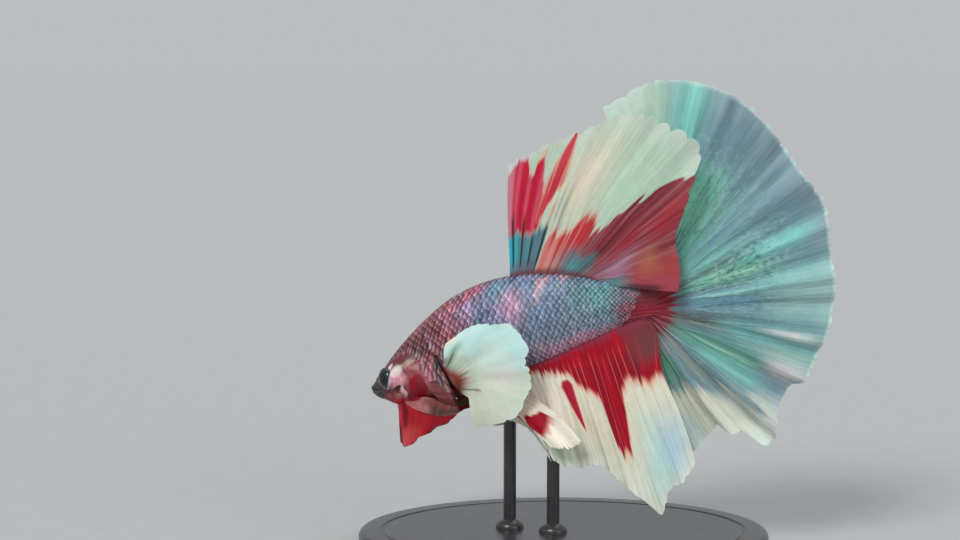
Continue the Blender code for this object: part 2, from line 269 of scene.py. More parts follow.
def axes(t):
    """(forward, left, up) of the body at each t."""
    yaw, pitch, roll = (np.radians(curve(rows, t)) for rows in (YAW, PITCH, ROLL))
    forward = vectors(-np.cos(yaw) * np.cos(pitch), np.sin(yaw) * np.cos(pitch), -np.sin(pitch))
    level = vectors(-np.sin(yaw), -np.cos(yaw), 0 * yaw)
    upright = np.cross(forward, level)
    left = level * column(np.cos(roll)) + upright * column(np.sin(roll))
    return forward, left, np.cross(forward, left)


def axes_at(t):
    """The body's three axes at one place."""
    return [direction.reshape(3) for direction in axes(np.array([float(t)]))]


def spine():
    points = [TAIL_ROOT]
    for i in range(SPINE_STEPS):
        forward = axes(np.float64(1 - (i + 0.5) / SPINE_STEPS))[0]
        points.append(points[-1] + forward * STANDARD_LENGTH / SPINE_STEPS)
    return np.array(points)


MIDLINE = spine()


def midline(t):
    place = (1 - np.asarray(t, float)) * SPINE_STEPS
    i = np.clip(place.astype(int), 0, SPINE_STEPS - 1)
    return MIDLINE[i] + (MIDLINE[i + 1] - MIDLINE[i]) * column(place - i)


def end_rounding(t):
    """How far the body has closed at its ends: (its sections' width, their height) as shares.

    Behind the tail's root it thins to a wedge that runs out between the rays.
    """
    snout = np.sqrt(np.clip(1 - np.clip(1 - t / 0.025, 0, 1) ** 2, 0, 1))
    behind = np.clip((t - 0.97) / 0.085, 0, 1)
    return snout * (1 - behind**1.5), snout * (1 + 0.16 * behind) * fall(0.97, 1.0, behind)


def body_point(t, around, out=0.0, rounded=False):
    """A point of the body's surface at t and the angle around, moved out from it."""
    arrays = (np.asarray(x, float) for x in (t, around, out))
    t, around, out = np.broadcast_arrays(*arrays)
    _, left, up = axes(t)
    thin, low = end_rounding(t) if rounded else (1.0, 1.0)
    height, depth, half = (curve(SECTIONS, t, k) * MM for k in (1, 2, 3))
    c, s = np.cos(np.radians(around)), np.sin(np.radians(around))
    tall = np.where(c > 0, height, depth)
    side = half * np.sign(s) * np.abs(s) ** 1.15
    outward = unit(left * column(s / half) + up * column(c / tall))
    surface = left * column(side * thin) + up * column(tall * c * low)
    return midline(t) + surface + outward * column(out * np.minimum(thin, low))


def median_y(x):
    """Where the body's bent midplane is along Y at x, carried straight on behind the body."""
    (x0, y0, _), (x1, y1, _) = MIDLINE[0], MIDLINE[1]
    y = np.interp(x, MIDLINE[::-1, 0], MIDLINE[::-1, 1])
    return np.where(x > x0, y0 + (x - x0) * (y1 - y0) / (x1 - x0), y)


def ray_reach(rows, u, v):
    """(across, up) of a point of a fan of rays from the ray's root."""
    angle = np.radians(curve(rows, u, 1) + curve(rows, u, 3) * v / 2)
    reach = curve(rows, u, 2) * MM * v
    return np.cos(angle) * reach, np.sin(angle) * reach


def gill_surface(side, u, v):
    """(points, outward directions) of a gill cover's middle: u runs back from its hinge, v down it."""
    t, around = lerp(*GILL_HINGE, v), lerp(GILL_TOP, GILL_BOTTOM, v)
    hinge = body_point(t, around * side, GAP + COVER_THICKNESS / 2)
    forward, left, up = axes(t)
    tilt = np.radians(around - 90)
    outward = left * column(side * np.cos(tilt)) - up * column(np.sin(tilt) * 0.6)
    flare = GILL_FLARE * (1.1 - 0.3 * u)
    reach = curve(GILL_LENGTHS, v) * MM * u
    bow = np.sin(math.pi * v) * 0.5 * MM * u
    back = -forward - up * column(GILL_DROOP * v * v)
    points = hinge + back * column(np.cos(flare) * reach)
    return points + outward * column(np.sin(flare) * reach + bow), unit(outward)


def eye_frame(side):
    """(centre, axis outward, forward, up) of an eye; side is 1 for the left and -1 for the right."""
    t, around = EYE_PLACE
    forward, left, up = axes_at(t)
    axis = unit(left * side + forward * math.tan(EYE_FORWARD) + up * 0.12)
    ahead = unit(forward - axis * (forward @ axis))
    centre = body_point(t, around * side, -EYE_SUNK)
    return centre, axis, ahead, np.cross(ahead, axis) * side


# ---------------------------------------------------------------- modelling helpers


def add_primitive(operator, name, **settings):
    bpy.ops.object.select_all(action="DESELECT")
    operator(**settings)
    obj = bpy.context.object
    obj.name = obj.data.name = name
    return obj


def make_grid(name, across, along):
    """A flat grid primitive, with the (u, v) of each of its vertices from 0 to 1."""
    grid_add = bpy.ops.mesh.primitive_grid_add
    obj = add_primitive(grid_add, name, x_subdivisions=across, y_subdivisions=along, size=2)
    places = np.empty(len(obj.data.vertices) * 3, np.float32)
    obj.data.vertices.foreach_get("co", places)
    places = places.reshape(-1, 3).astype(float) / 2 + 0.5
    return obj, places[:, 0], places[:, 1]


def place_vertices(obj, points):
    obj.data.vertices.foreach_set("co", np.asarray(points, np.float32).ravel())
    obj.data.update()


def give_tint(obj, colours):
    layer = obj.data.attributes.new("tint", "FLOAT_COLOR", "POINT")
    colours = np.clip(colours, 0, 1)
    rgba = np.concatenate((colours, np.ones((len(colours), 1))), 1)
    layer.data.foreach_set("color", rgba.astype(np.float32).ravel())


def give_value(obj, values, name):
    layer = obj.data.attributes.new(name, "FLOAT", "POINT")
    layer.data.foreach_set("value", np.asarray(values, np.float32))


def give_map(obj, name, u, v):
    """A UV map from a (u, v) for each vertex."""
    loops = np.empty(len(obj.data.loops), np.int32)
    obj.data.loops.foreach_get("vertex_index", loops)
    layer = obj.data.uv_layers.new(name=name)
    layer.data.foreach_set("uv", np.stack((u, v), -1)[loops].astype(np.float32).ravel())


def select_only(obj):
    bpy.ops.object.select_all(action="DESELECT")
    obj.select_set(True)
    bpy.context.view_layer.objects.active = obj


def edit(obj, *steps):
    """Runs each (operator, settings) on all of obj in edit mode."""
    select_only(obj)
    bpy.ops.object.mode_set(mode="EDIT")
    bpy.ops.mesh.select_all(action="SELECT")
    for operator, settings in steps:
        operator(**settings)
    bpy.ops.object.mode_set(mode="OBJECT")


def close_up(obj):
    """Merges the vertices that meet and turns the faces outwards."""
    edit(
        obj,
        (bpy.ops.mesh.remove_doubles, {"threshold": 0.001 * MM}),
        (bpy.ops.mesh.normals_make_consistent, {"inside": False}),
    )


def apply_modifiers(obj):
    select_only(obj)
    for modifier in list(obj.modifiers):
        bpy.ops.object.modifier_apply(modifier=modifier.name)


def thicken(obj, thickness):
    """Gives a sheet its thickness, which differs from vertex to vertex."""
    most = float(thickness.max())
    group = obj.vertex_groups.new(name="thickness")
    levels = np.round(thickness / most * THICKNESS_LEVELS).astype(int)
    for level in np.unique(levels):
        chosen = np.flatnonzero(levels == level).tolist()
        group.add(chosen, float(level) / THICKNESS_LEVELS, "REPLACE")
    solidify = obj.modifiers.new("thickness", "SOLIDIFY")
    solidify.thickness = most
    solidify.offset = 0
    solidify.vertex_group = group.name
    apply_modifiers(obj)
    obj.vertex_groups.clear()


def finish_piece(obj, material, *nodes, slot=None, angle=60):
    """Smooths a finished piece, gives it its material and sets it in the model."""
    select_only(obj)
    bpy.ops.object.shade_smooth_by_angle(angle=math.radians(angle))
    obj.data.materials.clear()
    obj.data.materials.append(material)
    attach(obj, "root")
    if nodes:
        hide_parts(*nodes)
    return obj


def paint_on(colours, colour, mask):
    """Lays a colour over others as strongly as the mask says."""
    return colours + (np.asarray(colour, float) - colours) * column(np.clip(mask, 0, 1))


def painted(tint, *layers):
    """Lays (colour, mask) layers over a tint, one after another."""
    for colour, mask in layers:
        tint = paint_on(tint, colour, mask)
    return tint


# ---------------------------------------------------------------- materials


def new_material(name, roughness, **constants):
    """A material with its shader's constants set; returns it with its nodes and links."""
    material = bpy.data.materials.new(name)
    material.use_nodes = True
    nodes, links = material.node_tree.nodes, material.node_tree.links
    shader = nodes["Principled BSDF"]
    shader.inputs["Roughness"].default_value = roughness
    for socket, value in constants.items():
        shader.inputs[socket.replace("_", " ")].default_value = value
    return material, nodes, links, shader


def read_attribute(nodes, name, output):
    node = nodes.new("ShaderNodeAttribute")
    node.attribute_name = name
    return node.outputs[output]


def noise_node(nodes, links, scale, detail=3, stretch=None, source=None):
    """Noise on object coordinates, or on another source, stretched where asked."""
    noise = nodes.new("ShaderNodeTexNoise")
    noise.inputs["Scale"].default_value = scale
    noise.inputs["Detail"].default_value = detail
    if source is None:
        source = nodes.new("ShaderNodeTexCoord").outputs["Object"]
    if stretch:
        mapping = nodes.new("ShaderNodeMapping")
        mapping.inputs["Scale"].default_value = stretch
        links.new(source, mapping.inputs["Vector"])
        source = mapping.outputs["Vector"]
    links.new(source, noise.inputs["Vector"])
    return noise.outputs["Fac"]


def ramp_node(nodes, links, source, stops):
    ramp = nodes.new("ShaderNodeValToRGB")
    elements = ramp.color_ramp.elements
    while len(elements) < len(stops):
        elements.new(0.5)
    for element, (place, value) in zip(elements, stops):
        element.position = place
        element.color = (value, value, value, 1) if np.isscalar(value) else (*value, 1)
    links.new(source, ramp.inputs["Fac"])
    return ramp.outputs["Color"]


def mix_node(nodes, links, first, second, blend="MULTIPLY", amount=1.0):
    mix = nodes.new("ShaderNodeMix")
    mix.data_type = "RGBA"
    mix.blend_type = blend
    if np.isscalar(amount):
        mix.inputs[0].default_value = amount
    else:
        links.new(amount, mix.inputs[0])
    for socket, value in ((mix.inputs[6], first), (mix.inputs[7], second)):
        if isinstance(value, bpy.types.NodeSocket):
            links.new(value, socket)
        else:
            socket.default_value = (*value, 1)
    return mix.outputs[2]


def bump_node(nodes, links, height, distance, strength=0.5, under=None):
    bump = nodes.new("ShaderNodeBump")
    bump.inputs["Strength"].default_value = strength
    bump.inputs["Distance"].default_value = distance
    links.new(height, bump.inputs["Height"])
    if under is not None:
        links.new(under, bump.inputs["Normal"])
    return bump.outputs["Normal"]


def vary_roughness(nodes, links, shader, source, low, high):
    spread = nodes.new("ShaderNodeMapRange")
    spread.inputs["To Min"].default_value = low
    spread.inputs["To Max"].default_value = high
    links.new(source, spread.inputs["Value"])
    links.new(spread.outputs["Result"], shader.inputs["Roughness"])


def skin_material():
    """Wet skin: its markings, mottled a little, over a fine pebble."""
    material, nodes, links, shader = new_material(
        "betta_skin", 0.42, Coat_Weight=0.08, Coat_Roughness=0.14, Subsurface_Weight=0.05,
        Subsurface_Scale=0.0006, Specular_IOR_Level=0.2,
    )
    tint = read_attribute(nodes, "tint", "Color")
    mottle = noise_node(nodes, links, 1400, 4)
    shade = ramp_node(nodes, links, mottle, ((0.3, 0.72), (0.7, 1.12)))
    links.new(mix_node(nodes, links, tint, shade), shader.inputs["Base Color"])
    pebble = noise_node(nodes, links, 5200, 2)
    normal = bump_node(nodes, links, pebble, 0.00006, 0.4)
    links.new(normal, shader.inputs["Normal"])
    vary_roughness(nodes, links, shader, mottle, 0.28, 0.55)
    return material


def scale_material():
    """Pearly scales: pale centres, a dark line along each free edge and fine growth rings."""
    material, nodes, links, shader = new_material(
        "betta_scales", 0.42, Coat_Weight=0.12, Coat_Roughness=0.18, Specular_IOR_Level=0.3,
    )
    tint = read_attribute(nodes, "tint", "Color")
    rim = read_attribute(nodes, "rim", "Fac")
    shade = ramp_node(
        nodes, links, rim,
        ((0.15, 0.85), (0.42, 1.3), (0.64, 1.05), (0.80, 0.50), (0.91, 0.22), (1.0, 0.16)),
    )
    pale = ramp_node(nodes, links, rim, ((0.25, 0.0), (0.48, 1.0), (0.66, 0.0)))
    flecks = noise_node(nodes, links, 3000, 3)
    spots = ramp_node(nodes, links, flecks, ((0.35, 0.80), (0.65, 1.12)))
    light = mix_node(nodes, links, tint, (0.62, 0.60, 0.66), "SCREEN", 0.24)
    colour = mix_node(nodes, links, tint, light, "MIX", pale)
    colour = mix_node(nodes, links, colour, shade)
    colour = mix_node(nodes, links, colour, spots)
    links.new(colour, shader.inputs["Base Color"])
    rings = nodes.new("ShaderNodeTexWave")
    rings.wave_type = "BANDS"
    rings.inputs["Scale"].default_value = 2.4
    rings.inputs["Distortion"].default_value = 1.0
    own = nodes.new("ShaderNodeUVMap")
    own.uv_map = "scale"
    links.new(own.outputs["UV"], rings.inputs["Vector"])
    links.new(bump_node(nodes, links, rings.outputs["Fac"], 0.00002, 0.4), shader.inputs["Normal"])
    vary_roughness(nodes, links, shader, flecks, 0.32, 0.52)
    return material


def fin_material(name, roughness=0.46, pearl=0.15, streaking=1.0):
    """A fin's web and rays: its markings, streaked along the rays, jointed rays and a soft sheen."""
    material, nodes, links, shader = new_material(
        name, roughness, Coat_Weight=0.02, Coat_Roughness=0.25, Sheen_Weight=pearl * 0.2,
        Sheen_Roughness=0.35, Subsurface_Weight=0.08, Subsurface_Scale=0.0008,
        Specular_IOR_Level=0.15,
    )
    tint = read_attribute(nodes, "tint", "Color")
    ridge = read_attribute(nodes, "ridge", "Fac")
    fan = nodes.new("ShaderNodeUVMap")
    fan.uv_map = "fan"
    streaks = noise_node(nodes, links, 1.0, 4, (7, 0.16, 1), fan.outputs["UV"])
    dark, light = 1 - 0.14 * streaking, 1 + 0.08 * streaking
    shade = ramp_node(nodes, links, streaks, ((0.3, dark), (0.72, light)))
    cloud = noise_node(nodes, links, 700, 3)
    soft = ramp_node(nodes, links, cloud, ((0.3, 0.94), (0.7, 1.03)))
    colour = mix_node(nodes, links, tint, shade)
    colour = mix_node(nodes, links, colour, soft)
    links.new(colour, shader.inputs["Base Color"])
    joints = nodes.new("ShaderNodeTexWave")
    joints.wave_type = "BANDS"
    joints.bands_direction = "Y"
    joints.inputs["Scale"].default_value = 1.1
    joints.inputs["Distortion"].default_value = 0.6
    links.new(fan.outputs["UV"], joints.inputs["Vector"])
    along_rays = nodes.new("ShaderNodeMath")
    along_rays.operation = "MULTIPLY"
    links.new(joints.outputs["Fac"], along_rays.inputs[0])
    links.new(ridge, along_rays.inputs[1])
    normal = bump_node(nodes, links, along_rays.outputs[0], 0.00003, 0.35)
    normal = bump_node(nodes, links, streaks, 0.00012 * streaking, 0.5, normal)
    links.new(normal, shader.inputs["Normal"])
    vary_roughness(nodes, links, shader, streaks, roughness - 0.1, roughness + 0.14)
    return material


# ---------------------------------------------------------------- sizes and colours


def length(name, description, default):
    return FloatProperty(
        name=name, description=description, default=default, min=0, unit="LENGTH", precision=5
    )


def colour(name, description, default):
    return FloatVectorProperty(
        name=name, description=description, default=default, size=3, min=0, max=1, subtype="COLOR"
    )


class BettaSizes(bpy.types.PropertyGroup):
    skin_depth: length("Skin depth", "How far the skin lies inside the body's solids", 0.12 * MM)
    scale_lift: length("Scale lift", "How far a scale's free edge stands off the skin", 0.080 * MM)
    scale_step: length("Scale step", "Longest distance from one scale to the next", 0.92 * MM)
    scale_rows: IntProperty(
        name="Scale rows", description="Rows of scales round the body", default=46, min=12
    )
    web_thickness: length("Web thickness", "Thickness of a fin between its rays", 0.14 * MM)
    ray_height: length("Ray height", "How much a ray adds to the fin's thickness", 0.16 * MM)
    ray_width: length("Ray width", "Half the width of a ray", 0.13 * MM)
    cover_thickness: length("Gill cover", "Thickness of the gill covers' fold", 0.36 * MM)


class BettaColours(bpy.types.PropertyGroup):
    maroon: colour("Maroon", "Back, head and tail root", (0.165, 0.035, 0.05))
    wine: colour("Wine", "Dark red of the back fin's band", (0.28, 0.045, 0.065))
    crimson: colour("Crimson", "Belly fin, gill patch and streaks", (0.40, 0.008, 0.03))
    salmon: colour("Salmon", "Where red runs out into cream", (0.80, 0.34, 0.24))
    lilac: colour("Lilac", "Pearly patches on the flank", (0.36, 0.26, 0.44))
    steel: colour("Steel blue", "Flank scales", (0.105, 0.19, 0.32))
    sea: colour("Sea green", "Flank scales towards the tail", (0.10, 0.30, 0.29))
    ink: colour("Ink", "Scale edges, dark rays and speckles", (0.02, 0.028, 0.04))
    grey: colour("Grey", "Snout and inner tail web", (0.075, 0.085, 0.08))
    aqua: colour("Aqua", "Bright bands in the tail", (0.20, 0.56, 0.52))
    slate: colour("Slate blue", "Upper tail", (0.17, 0.30, 0.37))
    sky: colour("Sky blue", "Pale blue patches near the margins", (0.38, 0.60, 0.76))
    mint: colour("Mint", "Pale green webs", (0.52, 0.72, 0.60))
    pearl: colour("Pearl", "White margins", (0.74, 0.80, 0.76))
    cream: colour("Cream", "Belly fin and lower tail", (0.74, 0.72, 0.57))
    stand: colour("Stand", "Satin black of the stand", (0.018, 0.018, 0.02))
    floor: colour("Floor", "Pale plain floor", (0.435, 0.45, 0.455))


class StandSizes(bpy.types.PropertyGroup):
    width: length("Width", "Length of the oval base", 58 * MM)
    depth: length("Depth", "Depth of the oval base", 44 * MM)
    height: length("Height", "Height of the base", 3 * MM)
    bevel: length("Edge", "Rounding of the base's upper edge", 0.8 * MM)
    rod_radius: length("Rod radius", "Radius of each rod", 0.9 * MM)


def sizes():
    return bpy.context.scene.betta_sizes


def colours():
    return bpy.context.scene.betta_colours


# ---------------------------------------------------------------- body


def eye_distance(points, side):
    """How far points are from an eye's axis, in units of the eye's radius."""
    centre, axis, _, _ = eye_frame(side)
    offset = points - centre
    flat = offset - column(offset @ axis) * axis
    ahead_only = (offset @ axis) > -2.5 * MM
    return np.where(ahead_only, np.linalg.norm(flat, axis=-1) / EYE_RADIUS, 9.0)


def head_relief(t, around):
    """How far the head's forms stand out from its plain surface, in millimetres."""
    turn = np.abs(around)
    c = np.cos(np.radians(around))
    reach = np.where(c > 0, curve(SECTIONS, t, 1), curve(SECTIONS, t, 2))
    rise = reach * c
    past_line = rise - curve(MOUTH_LINE, t)
    mouth = fall(0.040, 0.070, t)
    relief = mouth * (
        -0.20 * hill(past_line, 0, 0.10)
        + 0.10 * hill(past_line, 0.42, 0.25)
        + 0.08 * hill(past_line, -0.40, 0.25)
        - 0.05 * hill(past_line, 0.95, 0.20)
    )
    relief += 0.30 * hill(t, 0.022, 0.022) * hill(turn, 72, 34)
    relief += 0.62 * hill(t, 0.078, 0.034) * step(135, 168, turn)
    relief += -0.16 * hill(t, 0.098, 0.006) * hill(past_line, -0.1, 0.9)
    for side in (38, -38):
        gap = np.hypot((t - 0.052) * LENGTH_MM, np.radians(around - side) * 1.9)
        relief += 0.13 * hill(gap, 0.27, 0.10) - 0.16 * hill(gap, 0, 0.15)
    for side in (1, -1):
        distance = eye_distance(body_point(t, around), side)
        relief += 0.05 * hill(distance, 1.07, 0.09) - 0.04 * hill(distance, 1.26, 0.07)
        relief += 0.07 * hill(distance, 1.42, 0.08) * step(60, 100, turn)
    bone = hill(turn, 112, 34)
    relief += bone * 0.05 * hill(t, 0.170, 0.012)
    relief += -0.10 * hill(t, 0.152, 0.005) * hill(turn, 128, 22)
    pits = hill(np.sin(t * LENGTH_MM * 2.6), 1, 0.28) * hill(turn, 28 + 60 * t, 5)
    relief -= 0.05 * pits * step(0.07, 0.09, t) * fall(0.17, 0.2, t)
    throat = step(150, 164, turn) * step(0.09, 0.13, t) * fall(0.27, 0.33, t)
    relief += 0.07 * throat * np.cos(np.radians(turn) * 36)
    lumps = grain(t * 90, around / 7 + 40, 11) - 0.5
    return relief + 0.05 * lumps * fall(0.2, 0.3, t)


def spot(x, z, centre, size, lean=0.0, soft=0.3):
    """1 inside an oval that leans by an angle in degrees, fading to 0 over its soft edge."""
    a = math.radians(lean)
    across, up = x - centre[0], z - centre[1]
    along = across * math.cos(a) + up * math.sin(a)
    over = up * math.cos(a) - across * math.sin(a)
    return fall(1 - soft, 1 + soft, np.hypot(along / size[0], over / size[1]))


def body_tint(t, around):
    """The body's markings, with painted light on the shaded belly; the skin and the scales over it share
    them.
    """
    c = colours()
    turn = np.abs(around) / 180
    drift = grain(t * 14, around / 24 + 30, 5) - 0.5
    fine = grain(t * 44, around / 9 + 50, 6) - 0.5
    steel = np.asarray(c.steel) * column(0.66 + 0.55 * grain(t * 40, around / 10 + 50, 8))
    tint = paint_on(steel, c.lilac, 0.30 * step(0.05, 0.35, drift + fine) * (1 - 0.6 * step(0.68, 0.78, t)))
    tint = painted(
        tint,
        (np.asarray(c.sea) * 0.8, 0.75 * step(0.72, 0.88, t + 0.12 * drift) * hill(turn, 0.36, 0.22)),
        ((0.07, 0.44, 0.44), 0.9 * hill(t, 0.880, 0.034) * hill(turn, 0.33, 0.15)),
        ((0.06, 0.26, 0.32), 0.7 * hill(t, 0.575, 0.03) * hill(turn, 0.22, 0.12)),
        ((0.17, 0.19, 0.24), 0.6 * step(0.46, 0.66, turn + 0.15 * drift)),
    )
    patch = 1.1 * hill(t, 0.605, 0.034) * hill(turn, 0.38, 0.13)
    streak = t + 0.16 * (turn - 0.22) + 0.02 * fine
    patch = np.maximum(patch, hill(streak, 0.695, 0.014) * hill(turn, 0.22, 0.13))
    patch = np.maximum(patch, 0.75 * hill(streak, 0.745, 0.012) * hill(turn, 0.14, 0.07))
    patch = np.maximum(patch, 0.55 * hill(t, 0.66, 0.03) * hill(turn, 0.74, 0.06))
    salmon = column(step(0.64, 0.68, t))
    tint = paint_on(
        tint, lerp(np.array((0.60, 0.32, 0.47)), np.array((0.66, 0.30, 0.30)), salmon),
        np.minimum(patch, 1) * 0.9,
    )
    shoulder = fall(0.47, 0.545, t + 0.16 * drift)
    mauve = lerp(np.array((0.40, 0.10, 0.13)), np.asarray(c.lilac), column(step(0.36, 0.50, t + 0.1 * fine)))
    mauve = mauve * column(0.68 + 0.6 * grain(t * 46, around / 10 + 20, 9))
    nape = fall(0.24, 0.43, t + 0.30 * turn + 0.08 * fine) * 0.9
    tint = painted(
        tint,
        (mauve, shoulder),
        ((0.22, 0.030, 0.045), nape),
        ((0.46, 0.05, 0.08), 0.9 * hill(t, 0.49, 0.035) * hill(turn, 0.15, 0.07)),
        ((0.07, 0.13, 0.16), hill(t, 0.345, 0.045) * hill(turn, 0.64, 0.13) * 0.85),
    )
    dusk = 1 - 0.50 * fall(0.31, 0.40, t + 0.04 * fine) * step(0.16, 0.30, turn) * fall(0.72, 0.8, turn)
    tint = tint * column(dusk)
    specks = step(0.60, 0.72, grain(t * 80, around / 4.5 + 70, 18))
    specks = specks * hill(t, 0.335, 0.06) * hill(turn, 0.50, 0.16)
    ridge = fall(0.055, 0.12, turn + 0.03 * fine)
    belly = step(0.68, 0.82, turn + 0.10 * drift) * step(0.60, 0.70, t) * fall(0.93, 0.98, t)
    front_belly = step(0.66, 0.80, turn) * fall(0.55, 0.66, t)
    girdle = hill(t, 0.375, 0.035) * step(0.58, 0.66, turn) * fall(0.90, 0.96, turn)
    tint = painted(
        tint,
        ((0.46, 0.32, 0.46), 0.55 * specks),
        ((0.12, 0.035, 0.045), ridge * fall(0.80, 0.95, t) * 0.9),
        # Painted light: the pink belly, painted paler than its own colour against the shade under the body
        ((0.52, 0.22, 0.34), belly * 0.85),
        (c.maroon, front_belly * 0.8),
        # Painted light: the shaded front of the belly, painted a brighter red-brown than its own colour
        ((0.58, 0.14, 0.12), 0.85 * hill(t, 0.40, 0.06) * step(0.72, 0.80, turn)),
        ((0.30, 0.075, 0.060), girdle * 0.95),
        ((0.62, 0.30, 0.25), hill(t, 0.352, 0.010) * hill(turn, 0.74, 0.08) * 0.8),
    )
    return stem_tint(head_tint(tint, t, around, turn, drift, fine), t, around, drift, fine)


# Shares of a half turn from the back and where along the body the bare, crimson stem starts there
STEM_EDGE = ((0.2, 0.5, 0.8, 1.0), (0.985, 0.965, 0.930, 0.915))


def stem_tint(tint, t, around, drift, fine):
    """The tail's root: purple-grey, then maroon with the rays' first dark and pale lines."""
    turn = np.abs(around) / 180
    edge = np.interp(turn, *STEM_EDGE) + 0.03 * fine
    root = step(-0.02, 0.025, t - edge)
    lines = np.cos(turn * 2 * np.pi * 13 + 5 * (t - 1))
    return painted(
        tint,
        ((0.115, 0.085, 0.125), 0.85 * step(0.86, 0.93, t + 0.06 * drift)),
        ((0.22, 0.030, 0.050), 0.8 * step(-0.05, 0.01, t - edge + 0.12 * drift)),
        ((0.21, 0.022, 0.038), root * 0.95),
        ((0.36, 0.010, 0.028), 0.6 * root * step(0.0, 0.2, drift)),
        ((0.05, 0.012, 0.02), 0.4 * root * step(0.4, 0.95, lines)),
        ((0.42, 0.22, 0.25), 0.45 * root * step(0.5, 1.0, -lines) * step(0.55, 0.8, turn)),
    )


def head_tint(tint, t, around, turn, drift, fine):
    """The head: maroon, with a grey snout, red jaws and throat, and dark lines before the eyes."""
    c = colours()
    top = np.interp(turn * 180, (0, 40, 55, 76, 90, 180), (0.17, 0.18, 0.21, 0.275, 0.33, 0.30))
    face = fall(-0.015, 0.015, t - top + 0.03 * drift)
    tint = paint_on(tint, c.maroon, face * 0.9)
    tint = face_tint(tint, body_point(t, np.abs(around)), face)
    snout = fall(0.060, 0.085, t + 0.012 * fine + 0.02 * step(0.55, 0.75, turn))
    lips = hill(t, 0.030, 0.02) * hill(turn, 0.56, 0.06)
    jaw = step(0.66, 0.74, turn) * fall(0.10, 0.16, t) * step(0.045, 0.06, t)
    crown = fall(0.10, 0.26, turn) * step(0.07, 0.1, t) * face
    tint = painted(
        tint,
        (np.asarray(c.grey) * 0.62, snout * 0.95),
        ((0.12, 0.10, 0.08), 0.6 * lips),
        ((0.34, 0.02, 0.03), jaw * 0.7),
        ((0.66, 0.36, 0.34), 0.8 * hill(t, 0.042, 0.008) * hill(turn, 0.86, 0.05)),
        ((0.11, 0.035, 0.045), 0.7 * crown),
    )
    for side in (1, -1):
        distance = eye_distance(body_point(t, around), side)
        before = fall(0.060, 0.090, t)
        tint = paint_on(tint, c.ink, 0.9 * hill(distance, 0.98, 0.10) * before)
    throat = step(0.82, 0.90, turn) * step(0.06, 0.1, t) * fall(0.33, 0.42, t)
    return paint_on(tint, c.crimson, throat * 0.8)


def face_tint(tint, points, face):
    """Markings of the cheek and gill cover, given points of the left side, face their share; by the eye they
    include painted highlights and a painted reflection.
    """
    offset = (points - eye_frame(1)[0]) / MM
    x, z = offset[..., 0], offset[..., 2]
    cloud = grain(x * 1.1 + 30, z * 1.1 + 30, 14) - 0.5
    fine = grain(x * 4 + 60, z * 4 + 60, 15) - 0.5
    x, z = x + 0.35 * cloud + 0.10 * fine, z + 0.3 * cloud

    def add(colour, amount, *oval):
        nonlocal tint
        tint = paint_on(tint, colour, amount * face * spot(x, z, *oval))

    add((0.34, 0.075, 0.080), 0.9, (6.5, 0.8), (4.0, 3.4), 0, 0.25)
    add((0.55, 0.26, 0.26), 0.8, (4.6, 2.6), (2.2, 0.55), 12, 0.6)
    add((0.17, 0.12, 0.105), 0.75, (4.0, 3.9), (1.4, 0.5), 30, 0.5)
    add((0.33, 0.10, 0.16), 0.7, (6.4, 2.7), (1.5, 0.7), -35, 0.6)
    add((0.66, 0.52, 0.40), 0.6, (2.9, 2.9), (1.2, 0.22), 40, 0.6)
    add((0.78, 0.35, 0.42), 1.0, (1.60, 0.30), (1.30, 1.12), -20, 0.45)
    # Painted highlight: a white patch of light on the cheek, up behind the eye
    add((0.94, 0.84, 0.82), 0.95, (1.35, 1.35), (0.95, 0.62), 52, 0.5)
    # Painted reflection: a thin lilac-white strip along the eye's rear rim
    add((0.70, 0.56, 0.68), 0.85, (0.62, -0.15), (0.26, 1.1), 8, 0.6)
    add((0.78, 0.33, 0.40), 0.9, (1.05, -0.70), (0.45, 0.55), 0, 0.5)
    # Painted glint: a small white highlight at the top of the eye's rim
    add((0.86, 0.88, 0.92), 0.95, (0.42, 1.75), (0.16, 0.55), -28, 0.6)
    add((0.30, 0.05, 0.06), 0.9, (1.0, -2.1), (0.75, 0.7), 0, 0.4)
    add((0.66, 0.02, 0.04), 0.95, (1.7, -3.5), (0.7, 1.0), 0, 0.5)
    add((0.72, 0.42, 0.40), 0.9, (0.35, -2.75), (0.30, 0.25), 0, 0.5)
    add((0.95, 0.48, 0.40), 0.95, (1.75, -2.45), (0.58, 0.48), 10, 0.5)
    add((0.025, 0.010, 0.010), 1.0, (1.5, -1.15), (0.66, 0.27), 38, 0.4)
    add((0.95, 0.72, 0.64), 0.95, (2.30, -1.45), (0.26, 0.90), 12, 0.6)
    add((0.95, 0.62, 0.54), 0.95, (2.70, -2.15), (0.24, 0.90), 14, 0.6)
    add((0.05, 0.008, 0.010), 0.85, (2.36, -2.9), (0.13, 0.7), 6, 0.5)
    add((0.46, 0.15, 0.15), 0.9, (5.2, -2.9), (1.3, 0.5), -12, 0.4)
    add((0.44, 0.13, 0.15), 0.75, (4.9, -0.55), (1.8, 2.4), 0, 0.16)
    # The crimson oval's edge is crisp, so from here the places don't waver
    x, z = offset[..., 0], offset[..., 2]
    add((0.40, 0.001, 0.020), 1.0, (4.60, -0.60), (1.38, 2.00), 3, 0.10)
    add((0.40, 0.001, 0.020), 1.0, (4.60, 0.45), (1.08, 0.95), 0, 0.12)
    add((0.40, 0.001, 0.020), 1.0, (4.90, -1.90), (1.08, 1.05), 0, 0.12)
    add((0.30, 0.001, 0.008), 0.6, (5.1, -0.6), (0.8, 1.6), 0, 0.6)
    add((0.115, 0.065, 0.045), 0.85, (7.6, -2.7), (2.1, 0.75), -14, 0.4)
    return tint


